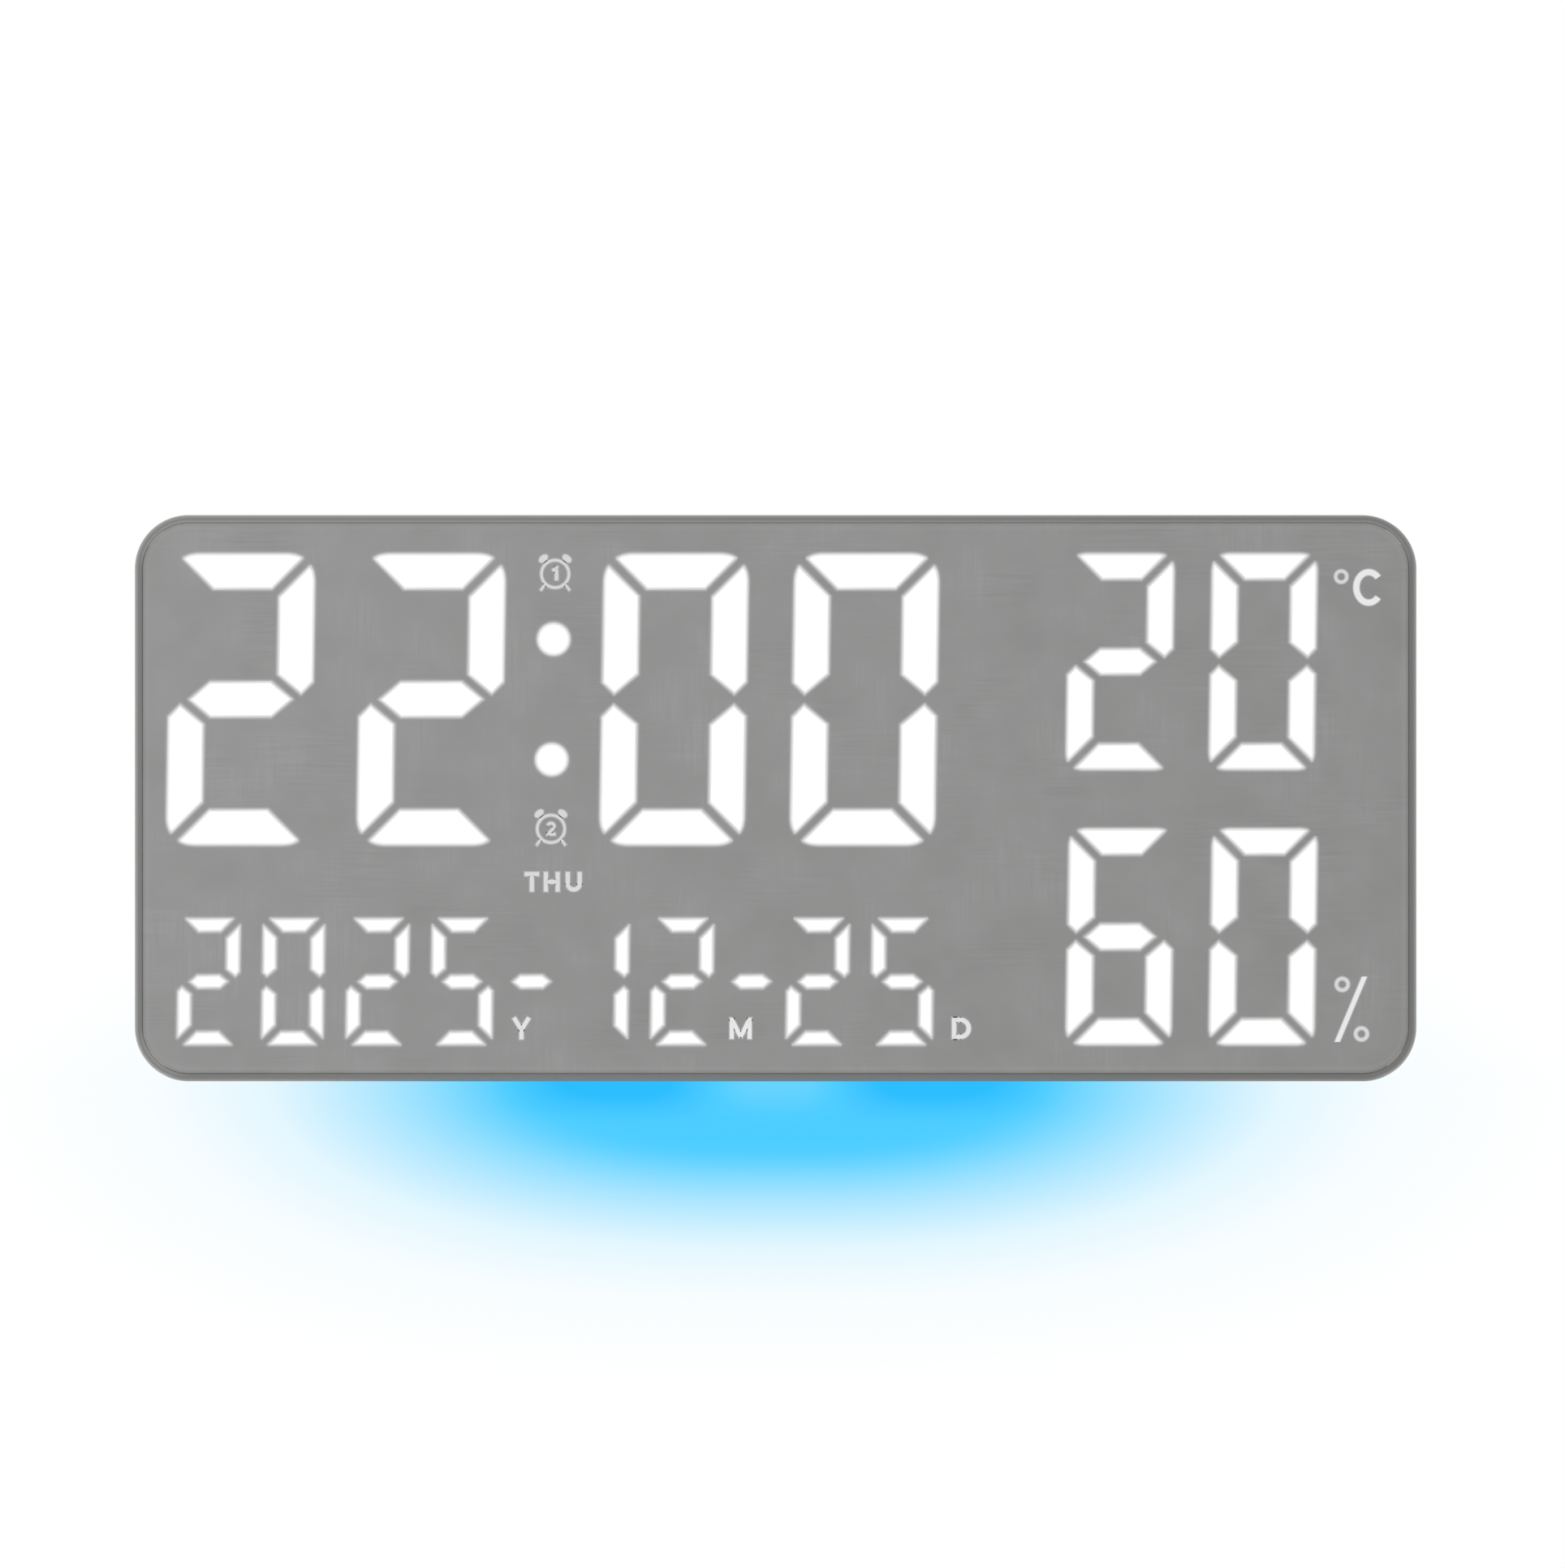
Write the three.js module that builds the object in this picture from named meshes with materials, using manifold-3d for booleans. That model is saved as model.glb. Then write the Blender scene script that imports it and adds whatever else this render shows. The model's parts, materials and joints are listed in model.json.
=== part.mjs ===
// Digital wall clock: a seven-segment LED readout behind a flat grey face, with a night light below.
// Millimetres, +Z up, +X to the viewer's right. The wall is the plane y = 0 and the face looks along -Y.

import * as THREE from 'three';
import { mergeVertices } from 'three/addons/utils/BufferGeometryUtils.js';
import Module from 'manifold-3d';

const wasm = await Module();
wasm.setup();

// What the readout shows
const timeShown = '2200';
const dateShown = '20251225';
const temperatureShown = '20';
const humidityShown = '60';

// Digits of the three sizes. The mitre gap lies between two strokes at a corner, the waist gap between
// the upper and lower uprights, and the bar gap between an upright's tip and the middle bar.
// The two rows of climate digits are together as high as the time above the date.
const timeDigit = {
  width: 42.9, height: 86.6, stroke: 10.7, mitreGap: 2.9, cornerRadius: 7.8,
  tipInset: 3.6, waistGap: 2.9, barGap: 2.4, cornerSteps: 2,
};
const dateDigit = {
  width: 18.3, height: 37.6, stroke: 4.07, mitreGap: 2.5, cornerRadius: 1.9,
  tipInset: 1.3, waistGap: 2.9, barGap: 2.1, cornerSteps: 0,
};
const timeToDate = 21.6;
const climateGap = 17.4;
const readoutRise = timeDigit.height + timeToDate + dateDigit.height;
const climateDigit = {
  width: 31.2, height: (readoutRise - climateGap) / 2, stroke: 7.8, mitreGap: 2.7, cornerRadius: 4.5,
  tipInset: 2.5, waistGap: 2.6, barGap: 2.6, cornerSteps: 1,
};
const slant = 0.0165;
const waistAngle = THREE.MathUtils.degToRad(40);

// Layout of the readouts on the face
const leftMargin = 10;
const topMargin = 11.4;
const bottomMargin = 10.8;
const timePitch = 56.5;
const colonPitch = 72;
const colonDiameter = 10;
const colonSpread = 35.7;
const alarmInset = 5.5;
const timeToClimate = 38.7;
const climatePitch = 42.4;
const unitColumn = 29.9;
const dateIndent = 2.8;
const datePitch = 25.05;
const dateGroupPitch = 40.2;
const dateGroups = [4, 2, 2];
const dashOffset = 20.6;
const legendOffset = 17.4;
const weekdayDrop = 10.8;
const unitOffset = 11.5;

// Light windows behind the small legends
const alarmWindow = { width: 11, height: 12 };
const weekdayWindow = { width: 19, height: 8 };
const legendWindow = { width: 8, height: 8 };
const unitWindow = { width: 15, height: 20 };

// Layers from the face to the wall
const faceRecess = 0.5;
const faceThickness = 1.6;
const lensThickness = 1;
const reflectorDepth = 6.8;
const boardThickness = 1.6;
const rearRoom = 14;
const coverWall = 2.2;
const seatGap = 0.1;
const windowClearance = 0.1;

// Reflectors and the LEDs in them
const blockMargin = 1.6;
const cavityTaper = 0.36;
const ledWidth = 3.5;
const ledHeight = 2.8;
const ledRise = 1.1;

// Front frame
const cornerRadius = 16;
const innerCornerRadius = 4;
const rimWidth = 2.3;
const rimRounding = 1.4;
const rimBevel = 0.35;
const panelClearance = 0.15;
const ledgeWidth = 2;
const ledgeThickness = 1.4;

// Rear cover
const coverRise = 9;
const flangeThickness = 2;
const flangeWidth = 7.6;
const slopeWidth = 6.4;
const coverClearance = 0.25;
const edgeRounding = 1.4;

// Cover screws and their bosses
const bossDiameter = 6.4;
const bossGap = 0.3;
const bossTieWidth = 3.2;
const screwDiameter = 2.8;
const screwHeadDiameter = 5.4;
const screwHeadHeight = 1.9;
const screwLength = 9;
const screwHoleClearance = 0.25;
const pilotClearance = 0.1;
const screwCornerInset = 10;
const screwSpan = 120;

// Night light in the bottom edge
const nightLightLength = 184;
const nightLightDepth = 6.4;
const nightLightFromFront = 9;
const diffuserFlange = 1.4;
const diffuserFlangeThickness = 1.2;
const diffuserPost = 2;
const nightLedCount = 9;
const nightLedPitch = 20;
const nightLedRise = 1.4;
const nightLedGap = 0.4;
const nightBoardThickness = 1.2;

// Hanging slots, from the side edges and the top edge
const hangerInset = 80;
const hangerDrop = 34;
const hangerHeadDiameter = 8.6;
const hangerSlotWidth = 4.4;
const hangerSlotLength = 9;

// Fold-out legs, and the pockets and finger scoops that they fold into
const legInset = 60;
const legWidth = 22;
const legTipWidth = 16;
const legNose = 5;
const legLength = 50;
const legThickness = 3.8;
const legClearance = 0.4;
const legAxisRise = 26;
const legWebThickness = 1.4;
const legRim = 2.4;
const legRibWidth = 1.6;
const pocketWall = 1.6;
const pocketHeel = 4.2;
const scoopWidth = 13;
const scoopLength = 8;
const pinDiameter = 2.4;
const pinClearance = 0.15;
const pinEngagement = 1.2;

// Push buttons in their bay, and the board behind them
const buttonCount = 5;
const buttonPitch = 17;
const buttonRowDrop = 54;
const buttonDiameter = 7;
const buttonProud = 1.5;
const buttonEdge = 0.6;
const buttonTravel = 0.6;
const buttonFlange = 1.3;
const buttonFlangeThickness = 1;
const buttonClearance = 0.25;
const bayRecess = 2.5;
const bayHeight = 15;
const bayWall = 2;
const bayCorner = 3;
const switchSize = 6;
const switchCorner = 0.8;
const switchHeight = 3;
const plungerDiameter = 3.2;
const plungerHeight = 0.7;
const buttonBoardHeight = 14;
const buttonBoardOverhang = 21;
const boardCorner = 1.5;

// Posts and the screws of the two smaller boards
const postDiameter = 6;
const postDraft = 1;
const displayPostInset = 30;
const displayPostDrop = 38;
const boardScrewDiameter = 2.2;
const boardScrewHead = 4.2;
const boardScrewHeadHeight = 1.4;
const boardScrewLength = 4.8;
const boardScrewInset = 4;
const boardHoleClearance = 0.2;
const pilotRoom = 0.5;

// Control board, and the places of its pieces from the middle of its foot
const controlBoardWidth = 96;
const controlBoardHeight = 48;
const controlBoardRise = 18;
const controlPost = 4.8;
const headerRise = 8;
const sensorOffset = [-34, 16];
const buzzerOffset = [34, 16];
const controllerOffset = [-28, 34];
const driverOffset = [28, 34];
const crystalOffset = [0, 40];
const cellRise = 32;

// Pin headers between the boards
const headerWidth = 15;
const headerHeight = 5;
const headerNotchWidth = 4;
const headerNotchDepth = 1;
const lightHeaderWidth = 8;
const lightHeaderDepth = 4;
const lightHeaderRise = 5;

// Small parts on the control board
const controllerChip = { length: 10.2, across: 7.5, leads: 8 };
const driverChip = { length: 8.9, across: 7.5, leads: 7 };
const chipHeight = 2.3;
const chipStandoff = 0.2;
const leadPitch = 1.27;
const leadWidth = 0.42;
const leadHeight = 0.6;
const leadReach = 1.4;
const leadRoot = 0.5;
const crystalLength = 11;
const crystalWidth = 4.6;
const crystalHeight = 3.4;
const crystalBrim = 0.3;
const crystalBrimHeight = 0.4;
const buzzerDiameter = 9.6;
const buzzerHeight = 5;
const buzzerEdge = 0.4;
const buzzerHole = 2;
const buzzerHoleDepth = 1;
const sensorWidth = 11;
const sensorHeight = 13;
const sensorDepth = 3.6;
const sensorFrame = 1.5;
const sensorSlatCount = 4;
const sensorSlatPitch = 3.2;
const sensorSlatHeight = 1;

// Coin cell, its holder, and the battery hatch with its door
const cellDiameter = 20;
const cellThickness = 3.2;
const cellClearance = 0.3;
const cellRim = 1.8;
const cellStep = 0.3;
const holderWall = 2;
const holderFloor = 0.6;
const holderCorner = 3;
const holderLip = 0.4;
const pryWidth = 8;
const hatchSize = 27;
const hatchCorner = 2;
const hatchLedge = 1.6;
const doorThickness = 1.3;
const doorClearance = 0.25;
const doorSink = 0.15;
const doorPlug = 0.65;
const gripCount = 3;
const gripPitch = 2;
const gripWidth = 1;
const gripLength = 12;
const gripDepth = 0.4;

// Power inlet
const inletWidth = 9;
const inletHeight = 3.2;
const inletLength = 7.3;
const inletShell = 0.35;
const inletBack = 1;
const inletTongueWidth = 6.6;
const inletTongue = 0.7;
const inletClearance = 0.35;
const inletSetback = 3.6;

// Vents
const ventWidth = 2;
const ventLength = 12;
const ventPitch = 6;
const ventCount = 10;
const ventDrop = 29;
const smallVentCount = 3;
const smallVentPitch = 4;

// Facets, how round an oval's ends are, and how far a cut runs past what it cuts
const frameCornerSteps = 6;
const coverCornerSteps = 5;
const smallCornerSteps = 2;
const ovalCornerSteps = 3;
const ovalRounding = 0.99;
const roundSides = 12;
const dotSides = 16;
const dotCavitySides = 8;
const postSides = 8;
const screwSides = 8;
const cellSides = 18;
const overrun = 1;

// Overall size, from the layout
const timeWidth = timeDigit.width + 2 * timePitch + colonPitch;
const width = leftMargin + timeWidth + timeToClimate + climateDigit.width + climatePitch + unitColumn;
const height = topMargin + readoutRise + bottomMargin;
const halfWidth = width / 2;
const halfHeight = height / 2;

// Planes from the wall to the face
const coverInside = -coverWall;
const displayBack = coverInside - rearRoom;
const displayFront = displayBack - boardThickness;
const reflectorBack = displayFront - seatGap;
const reflectorFront = reflectorBack - reflectorDepth;
const lensBack = reflectorFront - seatGap;
const lensFront = lensBack - lensThickness;
const faceBack = lensFront - seatGap;
const faceFront = faceBack - faceThickness;
const rimFront = faceFront - faceRecess;
const frameBack = -coverRise;
const flangeInside = frameBack - flangeThickness;
const controlBack = coverInside - controlPost;
const controlFront = controlBack - boardThickness;

// Places of the readouts
const readoutTop = halfHeight - topMargin;
const readoutBottom = bottomMargin - halfHeight;
const timeHeight = readoutTop - timeDigit.height / 2;
const temperatureHeight = readoutTop - climateDigit.height / 2;
const humidityHeight = readoutBottom + climateDigit.height / 2;
const dateHeight = readoutBottom + dateDigit.height / 2;
const timeStart = leftMargin - halfWidth + timeDigit.width / 2;
const timeSteps = [0, timePitch, timePitch + colonPitch, 2 * timePitch + colonPitch];
const timeCentres = timeSteps.map((step) => timeStart + step);
const colonCentre = (timeCentres[1] + timeCentres[2]) / 2;
const timeEnd = timeCentres[3] + timeDigit.width / 2;
const climateStart = timeEnd + timeToClimate + climateDigit.width / 2;
const climateCentres = [climateStart, climateStart + climatePitch];
const unitPlace = climateCentres[1] + climateDigit.width / 2 + unitOffset;
const dateStart = leftMargin - halfWidth + dateIndent + dateDigit.width / 2;
const dateCentres = [];
for (const group of dateGroups) {
  const first = dateCentres.length ? dateCentres.at(-1) + dateGroupPitch : dateStart;
  for (let i = 0; i < group; i += 1) dateCentres.push(first + i * datePitch);
}
const yearEnd = dateCentres[3];
const monthEnd = dateCentres[5];
const dayEnd = dateCentres[7];
const alarmSpread = timeDigit.height / 2 - alarmInset;
const alarmHeights = [timeHeight + alarmSpread, timeHeight - alarmSpread];
const weekdayHeight = timeHeight - timeDigit.height / 2 - weekdayDrop;
const dateLegendHeight = readoutBottom + legendWindow.height / 2;

// Places on the rear cover
const hangerHeight = halfHeight - hangerDrop;
const legAxisHeight = legAxisRise - halfHeight;
const buttonRowHeight = halfHeight - buttonRowDrop;
const ventHeight = halfHeight - ventDrop;
const controlBoardFoot = controlBoardRise - halfHeight;
const controlBoardTop = controlBoardFoot + controlBoardHeight;
const onControlBoard = ([x, rise]) => [x, controlBoardFoot + rise];
const sensorPlace = onControlBoard(sensorOffset);
const buzzerPlace = onControlBoard(buzzerOffset);
const hatchCentre = controlBoardFoot + cellRise;

// Materials
function finish(colour, roughness, metalness = 0) {
  return { color: colour, roughness, metalness };
}
const framePlastic = finish(0x74746f, 0.5);
const facePlastic = finish(0x92928f, 0.35);
const lensPlastic = finish(0xffffff, 0.4);
const reflectorPlastic = finish(0xf2f2ee, 0.6);
const coverPlastic = finish(0x5e5f5e, 0.6);
const boardLaminate = finish(0x1d5a37, 0.55);
const chipPlastic = finish(0x1b1c1e, 0.5);
const darkPlastic = finish(0x2a2b2d, 0.6);
const steel = finish(0xb9bbbd, 0.35, 1);
const diffuserPlastic = finish(0x8fd8ff, 0.5);

const clock = new THREE.Group();

// Tools of the model

function addPart(name, geometry, look) {
  const mesh = new THREE.Mesh(geometry, new THREE.MeshStandardMaterial(look));
  mesh.name = name;
  clock.add(mesh);
  return mesh;
}

function toSolid(geometry) {
  const bare = geometry.clone();
  bare.deleteAttribute('normal');
  bare.deleteAttribute('uv');
  const merged = mergeVertices(bare, 1e-4);
  const vertProperties = new Float32Array(merged.attributes.position.array);
  const triVerts = new Uint32Array(merged.index.array);
  return new wasm.Manifold(new wasm.Mesh({ numProp: 3, vertProperties, triVerts }));
}

function toGeometry(solid) {
  const mesh = solid.getMesh();
  const geometry = new THREE.BufferGeometry();
  geometry.setAttribute('position', new THREE.BufferAttribute(mesh.vertProperties, 3));
  geometry.setIndex(new THREE.BufferAttribute(mesh.triVerts, 1));
  geometry.computeVertexNormals();
  return geometry;
}

// A geometry with pieces joined on and others cut away
function carve(base, joined, cut) {
  let solid = toSolid(base);
  for (const piece of joined) solid = solid.add(toSolid(piece));
  for (const piece of cut) solid = solid.subtract(toSolid(piece));
  return toGeometry(solid);
}

function block([x0, y0, z0], [x1, y1, z1]) {
  const box = new THREE.BoxGeometry(Math.abs(x1 - x0), Math.abs(y1 - y0), Math.abs(z1 - z0));
  return box.translate((x0 + x1) / 2, (y0 + y1) / 2, (z0 + z1) / 2);
}

// A round bar along Y between two planes, with a tip diameter of its own
function bar(x, z, diameter, yFront, yBack, tipDiameter = diameter, sides = roundSides) {
  const geometry = new THREE.CylinderGeometry(diameter / 2, tipDiameter / 2, yBack - yFront, sides);
  return geometry.translate(x, (yFront + yBack) / 2, z);
}

function post(x, z, diameter, yFront, yBack, rootDiameter = diameter) {
  return bar(x, z, rootDiameter, yFront, yBack, diameter, postSides);
}

// A shape turned about Y, from a profile of radius and y that starts at its lowest y
function turned(profile, sides) {
  return new THREE.LatheGeometry(profile.map(([r, y]) => new THREE.Vector2(r, y)), sides);
}

// Corner arcs of a rounded rectangle, anticlockwise from the right
function roundedLoop(x, z, halfW, halfH, radius, steps) {
  const points = [];
  const corners = [[1, 1], [-1, 1], [-1, -1], [1, -1]];
  corners.forEach(([sx, sz], quarter) => {
    for (let i = 0; i <= steps; i += 1) {
      const angle = (quarter + (steps ? i / steps : 0.5)) * Math.PI / 2;
      const cx = x + sx * (halfW - radius);
      const cz = z + sz * (halfH - radius);
      points.push(new THREE.Vector2(cx + radius * Math.cos(angle), cz + radius * Math.sin(angle)));
    }
  });
  return points;
}

function roundedShape(x, z, w, h, radius, steps = smallCornerSteps) {
  return new THREE.Shape(roundedLoop(x, z, w / 2, h / 2, radius, steps));
}

// Three points that round the corner b on the way from a to c
function roundedCorner(a, b, c, reach) {
  const corner = new THREE.Vector2(...b);
  const towards = (end) => new THREE.Vector2(...end).sub(corner).setLength(reach).add(corner);
  const curve = new THREE.QuadraticBezierCurve(towards(a), corner, towards(c));
  return curve.getPoints(2).map((point) => [point.x, point.y]);
}

// A flat shape in X and Z, thick from yBack towards the face
function slab(shape, yBack, thickness) {
  const geometry = new THREE.ExtrudeGeometry(shape, { depth: thickness, bevelEnabled: false });
  return geometry.rotateX(Math.PI / 2).translate(0, yBack, 0);
}

// Skin between loops with the same number of points. A ring joins its last loop to its first,
// and any other skin is closed by a flat cap at each end.
function skin(loops, isRing = false) {
  const count = loops[0].length;
  const positions = loops.flat().flatMap(([x, y, z]) => [x, y, z]);
  const index = [];
  const spans = isRing ? loops.length : loops.length - 1;
  for (let row = 0; row < spans; row += 1) {
    const next = (row + 1) % loops.length;
    for (let i = 0; i < count; i += 1) {
      const j = (i + 1) % count;
      const [a, b, c, d] = [row * count + i, row * count + j, next * count + j, next * count + i];
      index.push(a, b, c, a, c, d);
    }
  }
  if (!isRing) {
    const last = (loops.length - 1) * count;
    for (let i = 1; i < count - 1; i += 1) {
      index.push(0, i + 1, i);
      index.push(last, last + i, last + i + 1);
    }
  }
  const geometry = new THREE.BufferGeometry();
  geometry.setAttribute('position', new THREE.Float32BufferAttribute(positions, 3));
  geometry.setIndex(index);
  return facingOut(geometry);
}

// Turns a closed skin the right way out, by the sign of its volume
function facingOut(geometry) {
  const position = geometry.attributes.position;
  const index = geometry.index.array;
  const [a, b, c] = [new THREE.Vector3(), new THREE.Vector3(), new THREE.Vector3()];
  let volume = 0;
  for (let i = 0; i < index.length; i += 3) {
    a.fromBufferAttribute(position, index[i]);
    b.fromBufferAttribute(position, index[i + 1]);
    c.fromBufferAttribute(position, index[i + 2]);
    volume += a.dot(b.cross(c));
  }
  if (volume < 0) geometry.setIndex(Array.from(index).reverse());
  geometry.computeVertexNormals();
  return geometry;
}

// The housing's outline moved inwards by an inset, as a loop in the plane y
function housingLoop(inset, y, steps) {
  const radius = Math.max(cornerRadius - inset, innerCornerRadius);
  const loop = roundedLoop(0, 0, halfWidth - inset, halfHeight - inset, radius, steps);
  return loop.map((point) => [point.x, y, point.y]);
}

// Places in a row about its middle
function row(count, pitch) {
  return Array.from({ length: count }, (_, i) => (i - (count - 1) / 2) * pitch);
}

// Seven-segment digits

const segmentNames = 'abcdefg';
const segmentsOf = {
  0: 'abcdef', 1: 'bc', 2: 'abdeg', 3: 'abcdg', 4: 'bcfg',
  5: 'acdfg', 6: 'acdefg', 7: 'abc', 8: 'abcdefg', 9: 'abcdfg',
};

// Outline of one segment about its digit's centre: a bar, an upright with a mitred top and a waist tip,
// or the middle bar with two points. The outer corners share one round corner of the digit.
function segmentOutline(name, digit, steps) {
  const [halfW, halfH] = [digit.width / 2, digit.height / 2];
  const mitre = digit.mitreGap / Math.SQRT2;
  const corner = [halfW - digit.cornerRadius, halfH - digit.cornerRadius];
  const mitreTurn = Math.asin(digit.mitreGap / 2 / digit.cornerRadius);
  const arc = (from, to) => Array.from({ length: steps + 1 }, (_, i) => {
    const angle = steps ? from + (to - from) * i / steps : (from + to) / 2;
    const [across, up] = [digit.cornerRadius * Math.cos(angle), digit.cornerRadius * Math.sin(angle)];
    return [corner[0] + across, corner[1] + up];
  });
  const inside = [halfW - digit.stroke, halfH - digit.stroke];
  const tip = halfW - digit.tipInset;
  const waist = digit.waistGap / 2;
  if (name === 'g') {
    const end = tip - digit.barGap;
    const half = digit.stroke / 2;
    const shoulder = end - half / Math.tan(waistAngle);
    return [[end, 0], [shoulder, half], [-shoulder, half], [-end, 0], [-shoulder, -half], [shoulder, -half]];
  }
  if (name === 'a' || name === 'd') {
    const right = [[inside[0] - mitre, inside[1]], ...arc(Math.PI / 4 + mitreTurn, Math.PI / 2)];
    const left = right.map(([x, z]) => [-x, z]).reverse();
    const side = name === 'a' ? 1 : -1;
    return [...right, ...left].map(([x, z]) => [x, side * z]);
  }
  const upright = [
    [inside[0], inside[1] - mitre],
    ...arc(Math.PI / 4 - mitreTurn, 0),
    [halfW, waist + digit.tipInset],
    [tip, waist],
    [inside[0], waist + (tip - inside[0]) * Math.tan(waistAngle)],
  ];
  const sideX = name === 'b' || name === 'c' ? 1 : -1;
  const sideZ = name === 'b' || name === 'f' ? 1 : -1;
  return upright.map(([x, z]) => [sideX * x, sideZ * z]);
}

function area(points) {
  return THREE.ShapeUtils.area(points.map(([x, z]) => new THREE.Vector2(x, z)));
}

// A convex outline with every edge moved outwards
function grown(points, distance) {
  const ordered = area(points) > 0 ? points : [...points].reverse();
  const edges = ordered.map((point, i) => {
    const next = ordered[(i + 1) % ordered.length];
    const direction = new THREE.Vector2(next[0] - point[0], next[1] - point[1]).normalize();
    const normal = new THREE.Vector2(direction.y, -direction.x);
    return { normal, offset: normal.x * point[0] + normal.y * point[1] + distance };
  });
  return edges.map((edge, i) => {
    const before = edges[(i + edges.length - 1) % edges.length];
    const cross = before.normal.x * edge.normal.y - before.normal.y * edge.normal.x;
    const x = (before.offset * edge.normal.y - edge.offset * before.normal.y) / cross;
    const z = (edge.offset * before.normal.x - before.offset * edge.normal.x) / cross;
    return [x, z];
  });
}

function outlineShape(points) {
  return new THREE.Shape(points.map(([x, z]) => new THREE.Vector2(x, z)));
}

// An outline leaning with the digits, at its place on the face
function placed(points, x, z) {
  return points.map(([px, pz]) => [x + px + slant * pz, z + pz]);
}

function circlePoints(x, z, diameter, sides) {
  return Array.from({ length: sides }, (_, i) => {
    const angle = 2 * Math.PI * i / sides;
    return [x + diameter / 2 * Math.cos(angle), z + diameter / 2 * Math.sin(angle)];
  });
}

function windowPoints(size, x, z) {
  const [w, h] = [size.width / 2, size.height / 2];
  return [[x - w, z - h], [x + w, z - h], [x + w, z + h], [x - w, z + h]];
}

// Outlines of the lit segments of one row of digits
function litOutlines(digit, centres, z, shown) {
  return centres.flatMap((x, i) => [...segmentsOf[shown[i]]].map((name) => placed(
    segmentOutline(name, digit, digit.cornerSteps), x, z,
  )));
}

// Outlines of all seven segments of each digit in a row, with plain corners
function allOutlines(digit, centres, z) {
  const outlines = [...segmentNames].map((name) => segmentOutline(name, digit, 0));
  return centres.flatMap((x) => outlines.map((outline) => placed(outline, x, z)));
}

function colonOutlines(sides) {
  return [1, -1].map((side) => {
    const rise = side * colonSpread / 2;
    return circlePoints(colonCentre + slant * rise, timeHeight + rise, colonDiameter, sides);
  });
}

function dashOutlines() {
  const dash = segmentOutline('g', dateDigit, 0);
  return [yearEnd, monthEnd].map((x) => placed(dash, x + dashOffset, dateHeight));
}

// The rectangle behind a row of leaning digits
function rowEdges(digit, centres, z) {
  const side = digit.width / 2 + slant * digit.height / 2 + blockMargin;
  const rise = digit.height / 2 + blockMargin;
  return { left: centres[0] - side, bottom: z - rise, right: centres.at(-1) + side, top: z + rise };
}

// The four readouts. The edges are those of the lens and the reflector behind it.
const timeReadout = {
  name: 'time',
  lit: [...litOutlines(timeDigit, timeCentres, timeHeight, timeShown), ...colonOutlines(dotSides)],
  cavities: [
    ...allOutlines(timeDigit, timeCentres, timeHeight),
    ...colonOutlines(dotCavitySides),
    ...alarmHeights.map((z) => windowPoints(alarmWindow, colonCentre, z)),
    windowPoints(weekdayWindow, colonCentre, weekdayHeight),
  ],
  edges: {
    ...rowEdges(timeDigit, timeCentres, timeHeight),
    bottom: weekdayHeight - weekdayWindow.height / 2 - blockMargin,
  },
};

const dateReadout = {
  name: 'date',
  lit: [...litOutlines(dateDigit, dateCentres, dateHeight, dateShown), ...dashOutlines()],
  cavities: [
    ...allOutlines(dateDigit, dateCentres, dateHeight),
    ...dashOutlines(),
    ...[yearEnd, monthEnd, dayEnd].map((x) => windowPoints(legendWindow, x + legendOffset, dateLegendHeight)),
  ],
  edges: {
    ...rowEdges(dateDigit, dateCentres, dateHeight),
    right: dayEnd + legendOffset + legendWindow.width / 2 + blockMargin,
  },
};

// The unit's window is level with the top of its digits, or with their foot
function climateReadout(name, z, shown, side) {
  const unitHeight = z + side * (climateDigit.height - unitWindow.height) / 2;
  return {
    name,
    lit: litOutlines(climateDigit, climateCentres, z, shown),
    cavities: [
      ...allOutlines(climateDigit, climateCentres, z),
      windowPoints(unitWindow, unitPlace, unitHeight),
    ],
    edges: {
      ...rowEdges(climateDigit, climateCentres, z),
      right: unitPlace + unitWindow.width / 2 + blockMargin,
    },
  };
}

const readouts = [
  timeReadout,
  dateReadout,
  climateReadout('temperature', temperatureHeight, temperatureShown, 1),
  climateReadout('humidity', humidityHeight, humidityShown, -1),
];

function blockShape({ left, bottom, right, top }) {
  return roundedShape((left + right) / 2, (bottom + top) / 2, right - left, top - bottom, blockMargin);
}

// Screws that hold the cover: the four corners and two along the top, in the margin beside the readouts
const screwInset = Math.min(topMargin, bottomMargin) - blockMargin - bossGap - bossDiameter / 2;
const cornerScrews = [1, -1].flatMap((sx) => [1, -1].map((sz) => [
  sx * (halfWidth - screwCornerInset), sz * (halfHeight - screwInset),
]));
const topScrews = [1, -1].map((sx) => [sx * screwSpan / 2, halfHeight - screwInset]);
const screwPlaces = [...cornerScrews, ...topScrews];

// Front frame: one profile swept round the outline, with a rounded nose, a ledge behind the face panel
// and a wall that ends in the seat of the rear cover
const ledgeFront = faceBack + seatGap;
const ledgeBack = ledgeFront + ledgeThickness;
const bossBack = flangeInside - seatGap;
const nightLightFront = rimFront + nightLightFromFront;
const nightLightBack = nightLightFront + nightLightDepth;

function frameProfile() {
  const nose = [0, 1, 2].map((i) => {
    const angle = i / 2 * Math.PI / 2;
    return [rimRounding * (1 - Math.cos(angle)), rimFront + rimRounding * (1 - Math.sin(angle))];
  });
  return [
    ...nose,
    [rimWidth - rimBevel, rimFront],
    [rimWidth, rimFront + rimBevel],
    [rimWidth, ledgeFront],
    [rimWidth + ledgeWidth, ledgeFront],
    [rimWidth + ledgeWidth, ledgeBack],
    [rimWidth, ledgeBack + ledgeWidth],
    [rimWidth, frameBack],
    [0, frameBack],
  ];
}

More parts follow.
